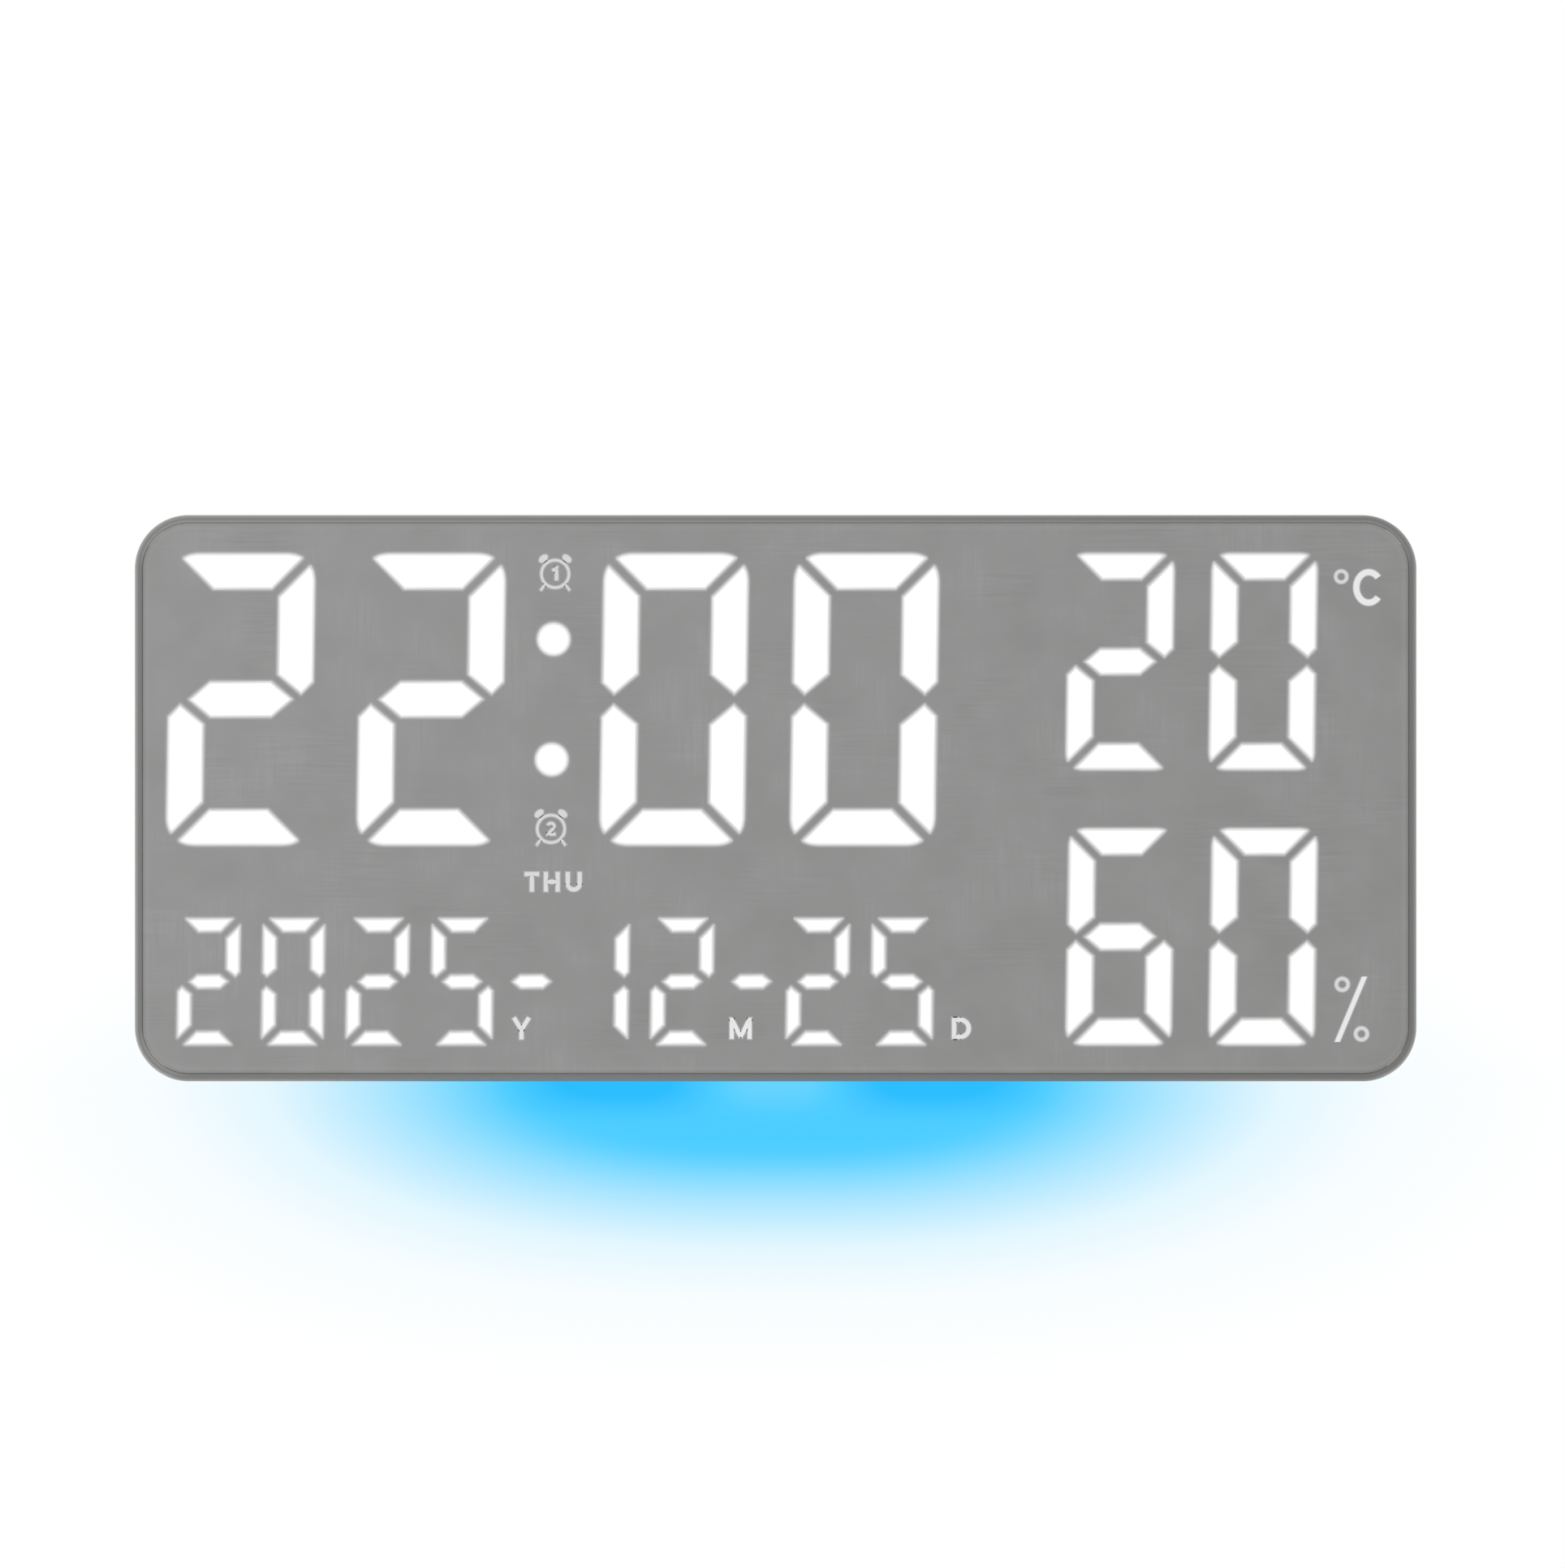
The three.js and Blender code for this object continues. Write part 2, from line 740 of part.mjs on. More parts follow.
// The corner bosses grow into the wall. Those along the top reach it by a tie.
function buildFrontFrame() {
  const wall = skin(frameProfile().map(([inset, y]) => housingLoop(inset, y, frameCornerSteps)), true);
  const bosses = screwPlaces.map(([x, z]) => post(x, z, bossDiameter, ledgeBack, bossBack));
  const ties = topScrews.map(([x, z]) => block(
    [x - bossTieWidth / 2, ledgeBack, z],
    [x + bossTieWidth / 2, bossBack, halfHeight - rimWidth / 2],
  ));
  const pilots = screwPlaces.map(([x, z]) => post(
    x, z, screwDiameter + 2 * pilotClearance, bossBack - screwLength, bossBack + overrun,
  ));
  const lightSlot = block(
    [-nightLightLength / 2, nightLightFront, -halfHeight - overrun],
    [nightLightLength / 2, nightLightBack, -halfHeight + rimWidth + overrun],
  );
  addPart('front_frame', carve(wall, [...bosses, ...ties], [...pilots, lightSlot]), framePlastic);
}

// Face panel: a flat grey sheet in the rim, open where a segment is lit
function buildFacePanel() {
  const inset = rimWidth + panelClearance;
  const sheet = slab(roundedShape(
    0, 0, width - 2 * inset, height - 2 * inset, cornerRadius - inset, frameCornerSteps,
  ), faceBack, faceThickness);
  const windows = readouts.flatMap((readout) => readout.lit).map((outline) => slab(
    outlineShape(grown(outline, windowClearance)), faceBack + overrun, faceThickness + 2 * overrun,
  ));
  addPart('face_panel', carve(sheet, [], windows), facePlastic);
}

// Lenses: a backing sheet behind the face, with an island that fills each lit window
function buildLens({ name, lit, edges }) {
  const sheet = slab(blockShape(edges), lensBack, lensThickness);
  const islandBack = lensBack - lensThickness / 2;
  const islands = lit.map((outline) => slab(outlineShape(outline), islandBack, islandBack - faceFront));
  addPart(`${name}_lens`, carve(sheet, islands, []), lensPlastic);
}

function centreOf(outline) {
  const xs = outline.map(([x]) => x);
  const zs = outline.map(([, z]) => z);
  return [(Math.min(...xs) + Math.max(...xs)) / 2, (Math.min(...zs) + Math.max(...zs)) / 2];
}

// One light cavity: the segment's own outline at the face, drawn in towards the LED
function cavity(outline) {
  const [cx, cz] = centreOf(outline);
  const loops = [reflectorFront - overrun, reflectorBack + overrun].map((y) => {
    const scale = 1 - cavityTaper * (y - reflectorFront) / reflectorDepth;
    return outline.map(([x, z]) => [cx + (x - cx) * scale, y, cz + (z - cz) * scale]);
  });
  return skin(loops);
}

// Reflectors: a white block for each readout, with a tapered cavity for every segment, lit or not
function buildReflector({ name, cavities, edges }) {
  const body = slab(blockShape(edges), reflectorBack, reflectorDepth);
  addPart(`${name}_reflector`, carve(body, [], cavities.map(cavity)), reflectorPlastic);
}

// Display board: one sheet behind all the reflectors, with an LED in each cavity of the time.
// The smaller readouts have chips that hardly stand off the board.
const displayEdges = {
  left: Math.min(...readouts.map(({ edges }) => edges.left)),
  bottom: Math.min(...readouts.map(({ edges }) => edges.bottom)),
  right: Math.max(...readouts.map(({ edges }) => edges.right)),
  top: Math.max(...readouts.map(({ edges }) => edges.top)),
};

function buildDisplayBoard() {
  const sheet = slab(blockShape(displayEdges), displayBack, boardThickness);
  const leds = timeReadout.cavities.map((outline) => {
    const [x, z] = centreOf(outline);
    return block(
      [x - ledWidth / 2, displayFront - ledRise, z - ledHeight / 2],
      [x + ledWidth / 2, displayFront + boardThickness / 2, z + ledHeight / 2],
    );
  });
  addPart('display_board', carve(sheet, leds, []), boardLaminate);
}

// Night light: a frosted bar in the bottom wall, the LED strip on its two end posts,
// and the header that joins the strip to the display board
const diffuserTop = -halfHeight + rimWidth + seatGap + diffuserFlangeThickness;
const nightBoardFoot = diffuserTop + nightLedGap + nightLedRise;
const nightBoardTop = nightBoardFoot + nightBoardThickness;
const nightLightMiddle = (nightLightFront + nightLightBack) / 2;
const flangeHalfLength = nightLightLength / 2 + diffuserFlange;
const flangeFront = nightLightFront - diffuserFlange;
const flangeBack = nightLightBack + diffuserFlange;

function buildDiffuser() {
  const halfLength = nightLightLength / 2 - panelClearance;
  const flange = block(
    [-flangeHalfLength, flangeFront, diffuserTop - diffuserFlangeThickness],
    [flangeHalfLength, flangeBack, diffuserTop],
  );
  const lightBar = block(
    [-halfLength, nightLightFront + panelClearance, -halfHeight],
    [halfLength, nightLightBack - panelClearance, diffuserTop - diffuserFlangeThickness / 2],
  );
  const posts = [1, -1].map((side) => block(
    [side * flangeHalfLength, flangeFront, diffuserTop - diffuserFlangeThickness / 2],
    [side * (flangeHalfLength - diffuserPost), flangeBack, nightBoardFoot - seatGap],
  ));
  addPart('night_light_diffuser', carve(flange, [lightBar, ...posts], []), diffuserPlastic);
}

function buildNightLightBoard() {
  const strip = block(
    [-flangeHalfLength, flangeFront, nightBoardFoot],
    [flangeHalfLength, flangeBack, nightBoardTop],
  );
  const leds = row(nightLedCount, nightLedPitch).map((x) => block(
    [x - ledWidth / 2, nightLightMiddle - ledHeight / 2, nightBoardFoot - nightLedRise],
    [x + ledWidth / 2, nightLightMiddle + ledHeight / 2, nightBoardFoot + nightBoardThickness / 2],
  ));
  addPart('night_light_board', carve(strip, leds, []), boardLaminate);
  const headerFront = displayBack + seatGap;
  const header = block(
    [-lightHeaderWidth / 2, headerFront, nightBoardTop + seatGap],
    [lightHeaderWidth / 2, headerFront + lightHeaderDepth, displayEdges.bottom + lightHeaderRise],
  );
  addPart('night_light_header', header, chipPlastic);
}

// Rear cover: a shallow dish whose flange seats in the frame and whose flat back meets the wall
const coverEdge = rimWidth + coverClearance;
const slopeFoot = coverEdge + flangeWidth;
const plateauEdge = slopeFoot + slopeWidth;

function coverDish() {
  const skew = (Math.hypot(slopeWidth, coverRise) - slopeWidth) / coverRise;
  const insideSlope = (y) => [plateauEdge + coverWall * skew - (coverInside - y) * slopeWidth / coverRise, y];
  const middle = [halfHeight, 0];
  const crest = [plateauEdge, 0];
  const foot = [slopeFoot, frameBack];
  const edge = [coverEdge, frameBack];
  const profile = [
    ...roundedCorner(middle, crest, foot, edgeRounding),
    ...roundedCorner(crest, foot, edge, edgeRounding),
    edge,
    [coverEdge, flangeInside],
    insideSlope(flangeInside),
    insideSlope(coverInside),
  ];
  return skin(profile.map(([inset, y]) => housingLoop(inset, y, coverCornerSteps)));
}

// Keyhole: a round hole for the screw's head and a narrow slot above it for its shank
function hangerCuts() {
  return [1, -1].flatMap((side) => {
    const x = side * (halfWidth - hangerInset);
    const [front, back] = [coverInside - overrun, overrun];
    const slotTop = hangerHeight + hangerSlotLength;
    return [
      bar(x, hangerHeight, hangerHeadDiameter, front, back),
      bar(x, slotTop, hangerSlotWidth, front, back),
      block([x - hangerSlotWidth / 2, front, hangerHeight], [x + hangerSlotWidth / 2, back, slotTop]),
    ];
  });
}

// Pockets of the legs
const legPlaces = [-1, 1].map((side) => side * (halfWidth - legInset));
const legAxisDepth = -(legThickness / 2 + legClearance);
const pocketDepth = legThickness + 2 * legClearance;
const pocketFoot = legAxisHeight - pocketHeel;
const pocketTop = legAxisHeight + legLength + legClearance;
const pinReach = legWidth / 2 + legClearance + pinEngagement;

function pocketBox(x, wall, yBack) {
  const half = legWidth / 2 + legClearance + wall;
  return block([x - half, -pocketDepth - wall, pocketFoot - wall], [x + half, yBack, pocketTop + wall]);
}

// Finger scoop beyond the leg's free end
function scoopBox(x, wall, yBack) {
  const half = scoopWidth / 2 + wall;
  const top = pocketTop + scoopLength + wall;
  return block([x - half, -pocketDepth - wall, pocketTop - overrun], [x + half, yBack, top]);
}

// A round bar along X on the legs' hinge axis
function hingeBar(x, diameter, halfLength) {
  const geometry = new THREE.CylinderGeometry(diameter / 2, diameter / 2, 2 * halfLength, roundSides);
  return geometry.rotateZ(Math.PI / 2).translate(x, legAxisDepth, legAxisHeight);
}

function legPocketWalls() {
  return legPlaces.flatMap((x) => [
    pocketBox(x, pocketWall, coverInside / 2), scoopBox(x, pocketWall, coverInside / 2),
  ]);
}

function legPocketCuts() {
  return legPlaces.flatMap((x) => [
    pocketBox(x, 0, overrun),
    scoopBox(x, 0, overrun),
    hingeBar(x, pinDiameter + 2 * pinClearance, pinReach + pinClearance),
  ]);
}

// Bay of the push buttons
const buttonPlaces = row(buttonCount, buttonPitch);
const buttonRowLength = (buttonCount - 1) * buttonPitch;
const bayFloorInside = -bayRecess - bayWall;

function baySlab(wall, yBack, depth) {
  const bayWidth = buttonRowLength + bayHeight;
  const shape = roundedShape(0, buttonRowHeight, bayWidth + 2 * wall, bayHeight + 2 * wall, bayCorner + wall);
  return slab(shape, yBack, depth);
}

function buttonBayCuts() {
  const holes = buttonPlaces.map((x) => bar(
    x, buttonRowHeight, buttonDiameter + 2 * buttonClearance, bayFloorInside - overrun, 0,
  ));
  return [baySlab(0, overrun, bayRecess + overrun), ...holes];
}

// Battery hatch: a square opening with a ledge that the door rests on
const doorSeat = doorSink + doorThickness + seatGap;

function hatchShape(margin) {
  const size = hatchSize - 2 * margin;
  return roundedShape(0, hatchCentre, size, size, hatchCorner);
}

function hatchCuts() {
  return [
    slab(hatchShape(0), overrun, overrun + doorSeat),
    slab(hatchShape(hatchLedge), overrun, coverWall + 2 * overrun),
  ];
}

// Opening of the power inlet, through the lower slope
const inletFoot = -halfHeight + slopeFoot + inletSetback;

function inletCut() {
  const half = inletWidth / 2 + inletClearance;
  return block(
    [-half, controlBack - inletClearance, slopeFoot - halfHeight - inletClearance],
    [half, controlBack + inletHeight + inletClearance, inletFoot + inletLength],
  );
}

// Vents along the top, over the climate sensor and over the buzzer
function ventCuts() {
  const slot = (x, z) => block(
    [x - ventWidth / 2, coverInside - overrun, z - ventLength / 2],
    [x + ventWidth / 2, overrun, z + ventLength / 2],
  );
  return [
    ...row(ventCount, ventPitch).map((x) => slot(x, ventHeight)),
    ...[sensorPlace, buzzerPlace].flatMap(([x, z]) => row(smallVentCount, smallVentPitch).map(
      (step) => slot(x + step, z),
    )),
  ];
}

// Posts: those that press on the display board, and those that carry the two smaller boards
const displayPosts = [1, -1].flatMap((sx) => [1, -1].map((sz) => [
  sx * (halfWidth - displayPostInset), sz * (halfHeight - displayPostDrop),
]));
const controlScrews = [1, -1].flatMap((side) => [
  controlBoardFoot + boardScrewInset, controlBoardTop - boardScrewInset,
].map((z) => [side * (controlBoardWidth / 2 - boardScrewInset), z]));
const buttonBoardWidth = buttonRowLength + 2 * buttonBoardOverhang;
const buttonBoardScrews = [1, -1].map((side) => [
  side * (buttonBoardWidth / 2 - boardScrewInset), buttonRowHeight,
]);
const buttonFlangeFront = bayFloorInside - seatGap - buttonFlangeThickness;
const plungerBack = buttonFlangeFront - buttonTravel - 2 * seatGap;
const buttonBoardBack = plungerBack - plungerHeight - switchHeight;
const buttonBoardFront = buttonBoardBack - boardThickness;

function coverPosts() {
  const standing = (places, seat, draft) => places.map(([x, z]) => post(
    x, z, postDiameter, seat + seatGap, coverInside / 2, postDiameter + draft,
  ));
  return [
    ...standing(displayPosts, displayBack, postDraft),
    ...standing(controlScrews, controlBack, 0),
    ...standing(buttonBoardScrews, buttonBoardBack, 0),
  ];
}

function postPilots() {
  const hole = boardScrewDiameter + 2 * pilotClearance;
  const reach = boardScrewLength - boardThickness + pilotRoom;
  const pilots = (places, seat) => places.map(([x, z]) => post(x, z, hole, seat - overrun, seat + reach));
  return [...pilots(controlScrews, controlBack), ...pilots(buttonBoardScrews, buttonBoardBack)];
}

function buildRearCover() {
  const screwHoles = screwPlaces.map(([x, z]) => post(
    x, z, screwDiameter + 2 * screwHoleClearance, flangeInside - overrun, frameBack + overrun,
  ));
  const bay = baySlab(bayWall, coverInside / 2, coverInside / 2 - bayFloorInside);
  const joined = [...legPocketWalls(), bay, ...coverPosts()];
  const cut = [
    ...screwHoles, ...hangerCuts(), ...legPocketCuts(), ...buttonBayCuts(), ...hatchCuts(), inletCut(),
    ...ventCuts(), ...postPilots(),
  ];
  addPart('rear_cover', carve(coverDish(), joined, cut), coverPlastic);
}

// A pan-head screw along Y with its head towards the wall
function screwGeometry(diameter, length, headDiameter, headHeight) {
  const [shank, head] = [diameter / 2, headDiameter / 2];
  const crown = head * 0.75;
  return turned([
    [0, -length], [shank, shank - length], [shank, 0], [head, 0], [crown, headHeight], [0, headHeight],
  ], screwSides);
}

function buildCoverScrews() {
  screwPlaces.forEach(([x, z], i) => {
    const geometry = screwGeometry(screwDiameter, screwLength, screwHeadDiameter, screwHeadHeight);
    addPart(`cover_screw_${i + 1}`, geometry, steel).position.set(x, frameBack + seatGap, z);
  });
}

// Legs: a tapered plate hollowed towards the wall side, with a middle rib and a round heel on the pin
function legShape(margin, heel) {
  const [root, tip, top] = [legWidth / 2 - margin, legTipWidth / 2 - margin, legLength - margin];
  return outlineShape([
    [-root, heel],
    [root, heel],
    ...roundedCorner([root, heel], [tip, top], [-tip, top], legNose),
    ...roundedCorner([tip, top], [-tip, top], [-root, heel], legNose),
  ]);
}

function buildLegs() {
  const half = legThickness / 2;
  const hollowFoot = half + legRim;
  const hollowDepth = legThickness - legWebThickness;
  const heelBar = (radius, length) => new THREE.CylinderGeometry(radius, radius, length, roundSides)
    .rotateZ(Math.PI / 2);
  const plate = toSolid(slab(legShape(0, 0), half, legThickness));
  const hollow = toSolid(slab(legShape(legRim, hollowFoot), half + overrun, hollowDepth + overrun));
  const rib = toSolid(block(
    [-legRibWidth / 2, -half, hollowFoot - legRim / 2],
    [legRibWidth / 2, half, legLength - legRim / 2],
  ));
  const heel = toSolid(heelBar(half, legWidth));
  const hole = toSolid(heelBar(pinDiameter / 2 + pinClearance, legWidth + 2 * overrun));
  const leg = plate.subtract(hollow).add(rib).add(heel).subtract(hole);
  ['left', 'right'].forEach((side, i) => {
    const mesh = addPart(`stand_leg_${side}`, toGeometry(leg), darkPlastic);
    mesh.position.set(legPlaces[i], legAxisDepth, legAxisHeight);
    addPart(`hinge_pin_${side}`, hingeBar(legPlaces[i], pinDiameter, pinReach), steel);
  });
}

// Push buttons: a cap through the bay's floor, with a collar behind it that keeps it in
function buildButtons() {
  const radius = buttonDiameter / 2;
  const collar = radius + buttonFlange;
  const collarBack = buttonFlangeFront + buttonFlangeThickness;
  const top = buttonProud - bayRecess;
  const profile = [
    [0, buttonFlangeFront], [collar, buttonFlangeFront], [collar, collarBack], [radius, collarBack],
    [radius, top - buttonEdge], [radius - buttonEdge, top], [0, top],
  ];
  buttonPlaces.forEach((x, i) => {
    addPart(`button_${i + 1}`, turned(profile, roundSides), darkPlastic).position.set(x, 0, buttonRowHeight);
  });
}

// Button board with its tact switches, whose plungers stand at their pressed height
function buildButtonBoard() {
  const shape = roundedShape(0, buttonRowHeight, buttonBoardWidth, buttonBoardHeight, boardCorner);
  addPart('button_board', drilledBoard(shape, buttonBoardBack, buttonBoardScrews), boardLaminate);
  const switchBack = buttonBoardBack + switchHeight;
  const switchShape = roundedShape(0, 0, switchSize, switchSize, switchCorner, 0);
  buttonPlaces.forEach((x, i) => {
    const body = slab(switchShape, switchBack, switchHeight - seatGap);
    const plunger = post(0, 0, plungerDiameter, switchBack - switchHeight / 2, plungerBack);
    const mesh = addPart(`button_switch_${i + 1}`, carve(body, [plunger], []), chipPlastic);
    mesh.position.set(x, 0, buttonRowHeight);
  });
  addBoardScrews('button_board_screw', buttonBoardScrews, buttonBoardFront);
  addHeader('button_board_header', buttonRowHeight, buttonBoardFront);
}

function drilledBoard(shape, yBack, places) {
  const holes = places.map(([x, z]) => post(
    x, z, boardScrewDiameter + 2 * boardHoleClearance, yBack - boardThickness - overrun, yBack + overrun,
  ));
  return carve(slab(shape, yBack, boardThickness), [], holes);
}

// Board screws have their heads towards the face
function addBoardScrews(name, places, seat) {
  places.forEach(([x, z], i) => {
    const geometry = screwGeometry(boardScrewDiameter, boardScrewLength, boardScrewHead, boardScrewHeadHeight);
    geometry.rotateX(Math.PI);
    addPart(`${name}_${i + 1}`, geometry, steel).position.set(x, seat - seatGap, z);
  });
}

// Pin header between a small board and the display board, with a notch that shows its first pin
function addHeader(name, z, boardFront) {
  const seat = displayBack + seatGap;
  const half = headerWidth / 2;
  const top = z + headerHeight / 2;
  const body = block([-half, seat, top - headerHeight], [half, boardFront - seatGap, top]);
  const notch = block(
    [-headerNotchWidth / 2, seat - overrun, top - headerNotchDepth],
    [headerNotchWidth / 2, boardFront + overrun, top + overrun],
  );
  addPart(name, carve(body, [], [notch]), chipPlastic);
}

// Control board and what stands on it
const controlSeat = controlFront - seatGap;

function buildControlBoard() {
  const middle = (controlBoardFoot + controlBoardTop) / 2;
  const shape = roundedShape(0, middle, controlBoardWidth, controlBoardHeight, boardCorner);
  addPart('control_board', drilledBoard(shape, controlBack, controlScrews), boardLaminate);
  addBoardScrews('control_board_screw', controlScrews, controlFront);
  addHeader('control_board_header', controlBoardFoot + headerRise, controlFront);
  addChip('microcontroller', onControlBoard(controllerOffset), controllerChip);
  addChip('display_driver', onControlBoard(driverOffset), driverChip);
}

// A small-outline chip: a body with a row of leads along each long side
function addChip(name, [x, z], { length, across, leads }) {
  const body = block(
    [-length / 2, controlSeat - chipHeight, -across / 2],
    [length / 2, controlSeat - chipStandoff, across / 2],
  );
  const rows = [1, -1].flatMap((side) => row(leads, leadPitch).map((along) => block(
    [along - leadWidth / 2, controlSeat - leadHeight, side * (across / 2 - leadRoot)],
    [along + leadWidth / 2, controlSeat, side * (across / 2 + leadReach)],
  )));
  addPart(name, carve(body, rows, []), chipPlastic).position.set(x, 0, z);
}

// Clock crystal: a low oval can on a brim
function buildCrystal() {
  const oval = (margin) => {
    const [w, h] = [crystalLength + 2 * margin, crystalWidth + 2 * margin];
    return roundedShape(0, 0, w, h, ovalRounding * h / 2, ovalCornerSteps);
  };
  const can = slab(oval(0), controlSeat, crystalHeight);
  const brim = slab(oval(crystalBrim), controlSeat, crystalBrimHeight);
  const [x, z] = onControlBoard(crystalOffset);
  addPart('clock_crystal', carve(can, [brim], []), steel).position.set(x, 0, z);
}

// Buzzer: a round can with its sound hole in the middle
function buildBuzzer() {
  const radius = buzzerDiameter / 2;
  const hole = buzzerHole / 2;
  const profile = [
    [0, buzzerHoleDepth - buzzerHeight], [hole, buzzerHoleDepth - buzzerHeight], [hole, -buzzerHeight],
    [radius - buzzerEdge, -buzzerHeight], [radius, buzzerEdge - buzzerHeight], [radius, 0], [0, 0],
  ];
  addPart('buzzer', turned(profile, roundSides), chipPlastic)
    .position.set(buzzerPlace[0], controlSeat, buzzerPlace[1]);
}

// Temperature and humidity sensor under its vents, with slats in its open side
function buildSensor() {
  const seat = controlBack + seatGap;
  const back = seat + sensorDepth;
  const halfSlot = sensorWidth / 2 - sensorFrame;
  const body = block([-sensorWidth / 2, seat, -sensorHeight / 2], [sensorWidth / 2, back, sensorHeight / 2]);
  const slots = row(sensorSlatCount, sensorSlatPitch).map((z) => block(
    [-halfSlot, back - sensorFrame, z - sensorSlatHeight / 2],
    [halfSlot, back + overrun, z + sensorSlatHeight / 2],
  ));
  addPart('climate_sensor', carve(body, [], slots), lensPlastic)
    .position.set(sensorPlace[0], 0, sensorPlace[1]);
}

// Coin cell that keeps the time, in its open holder under the hatch
function buildCell() {
  const seat = controlBack + seatGap;
  const wellFloor = seat + holderFloor;
  const cellFront = wellFloor + seatGap;
  const cellBack = cellFront + cellThickness;
  const holderBack = cellBack - holderLip;
  const outer = cellDiameter + 2 * (cellClearance + holderWall);
  const tray = slab(roundedShape(0, hatchCentre, outer, outer, holderCorner), holderBack, holderBack - seat);
  const well = bar(
    0, hatchCentre, cellDiameter + 2 * cellClearance, wellFloor, cellBack + overrun, undefined, cellSides,
  );
  const pry = block(
    [-pryWidth / 2, wellFloor, hatchCentre - outer / 2 - overrun],
    [pryWidth / 2, cellBack + overrun, hatchCentre],
  );
  addPart('cell_holder', carve(tray, [], [well, pry]), darkPlastic);

  const radius = cellDiameter / 2;
  const profile = [
    [0, 0], [radius - cellRim, 0], [radius - cellRim, cellStep], [radius, cellStep],
    [radius, cellThickness - cellStep], [radius - cellStep, cellThickness], [0, cellThickness],
  ];
  addPart('backup_cell', turned(profile, cellSides), steel).position.set(0, cellFront, hatchCentre);
}

// Door of the hatch: a plate with a plug that fits inside the ledge, and finger grips on its outside
function buildBatteryDoor() {
  const back = -doorSink;
  const plate = slab(hatchShape(doorClearance), back, doorThickness);
  const plug = slab(
    hatchShape(hatchLedge + doorClearance), back - doorThickness / 2, doorThickness / 2 + doorPlug,
  );
  const firstGrip = hatchCentre + hatchSize / 4;
  const grips = Array.from({ length: gripCount }, (_, i) => firstGrip + i * gripPitch).map((z) => block(
    [-gripLength / 2, back - gripDepth, z - gripWidth / 2],
    [gripLength / 2, back + overrun, z + gripWidth / 2],
  ));
  addPart('battery_door', carve(plate, [plug], grips), coverPlastic);
}

// Power inlet: a flat oval metal shell open towards the floor, with a tongue in its middle
function buildPowerInlet() {
  const along = (margin, length, z) => {
    const [w, h] = [inletWidth - 2 * margin, inletHeight - 2 * margin];
    const shape = roundedShape(0, 0, w, h, ovalRounding * h / 2, ovalCornerSteps);
    return new THREE.ExtrudeGeometry(shape, { depth: length, bevelEnabled: false }).translate(0, 0, z);
  };
  const mouth = along(inletShell, inletLength - inletBack + overrun, -overrun);
  const tongue = block(
    [-inletTongueWidth / 2, -inletTongue / 2, inletBack],
    [inletTongueWidth / 2, inletTongue / 2, inletLength - inletBack / 2],
  );
  const shell = toSolid(along(0, inletLength, 0)).subtract(toSolid(mouth)).add(toSolid(tongue));
  addPart('power_inlet', toGeometry(shell), steel)
    .position.set(0, controlBack + seatGap + inletHeight / 2, inletFoot);
}

buildFrontFrame();
buildFacePanel();
for (const readout of readouts) {
  buildLens(readout);
  buildReflector(readout);
}
buildDisplayBoard();
buildDiffuser();
buildNightLightBoard();
buildRearCover();
buildCoverScrews();
buildLegs();
buildButtons();
buildButtonBoard();
buildControlBoard();
buildCrystal();
buildBuzzer();
buildSensor();
buildCell();
buildBatteryDoor();
buildPowerInlet();

export default clock;
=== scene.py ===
# Digital wall clock: the finish of its pieces, the lit legends, the studio and the camera.
# Metres, +Z up, +X to the viewer's right. The wall is the plane y = 0 and the face looks along -Y.
import json
import math

import bmesh
import bpy
from mathutils import Matrix, Vector
from mathutils.bvhtree import BVHTree


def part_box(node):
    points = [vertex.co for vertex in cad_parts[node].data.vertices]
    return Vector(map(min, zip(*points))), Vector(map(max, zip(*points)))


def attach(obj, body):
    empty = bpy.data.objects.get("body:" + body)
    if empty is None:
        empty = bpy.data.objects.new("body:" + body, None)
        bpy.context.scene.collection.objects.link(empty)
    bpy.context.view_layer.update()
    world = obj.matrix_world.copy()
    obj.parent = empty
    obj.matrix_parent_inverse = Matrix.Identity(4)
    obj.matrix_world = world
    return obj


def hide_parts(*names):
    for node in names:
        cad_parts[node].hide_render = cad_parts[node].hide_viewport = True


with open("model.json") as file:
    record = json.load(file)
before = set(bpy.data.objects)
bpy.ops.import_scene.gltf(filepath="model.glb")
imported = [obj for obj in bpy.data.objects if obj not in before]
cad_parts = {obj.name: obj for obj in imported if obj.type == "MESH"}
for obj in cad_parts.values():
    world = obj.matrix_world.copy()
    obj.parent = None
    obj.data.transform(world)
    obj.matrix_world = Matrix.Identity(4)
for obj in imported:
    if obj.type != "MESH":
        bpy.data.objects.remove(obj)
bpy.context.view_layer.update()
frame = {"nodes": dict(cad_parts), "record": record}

MM = 0.001

# The photograph's frame: its height in pixels, the real length of a pixel at the face, and its centre
PHOTO_HEIGHT = 1932
PIXEL = 0.24066 * MM
FRAME_CENTRE = (2.05 * MM, 4.2 * MM)
CAMERA_DISTANCE = 3.0

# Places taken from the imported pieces
RIM_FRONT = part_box("front_frame")[0].y
FACE_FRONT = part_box("face_panel")[0].y
HALF_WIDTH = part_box("front_frame")[1].x
HALF_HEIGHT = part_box("front_frame")[1].z
FRAME_CORNER = 16 * MM
RIM_WIDTH = 2.3 * MM


def srgb(r, g, b):
    """A colour of 0 to 255 as the linear colour that shaders use."""
    def linear(c):
        c = c / 255
        return c / 12.92 if c <= 0.04045 else ((c + 0.055) / 1.055) ** 2.4
    return (linear(r), linear(g), linear(b), 1.0)


# Shader sockets that read like numbers

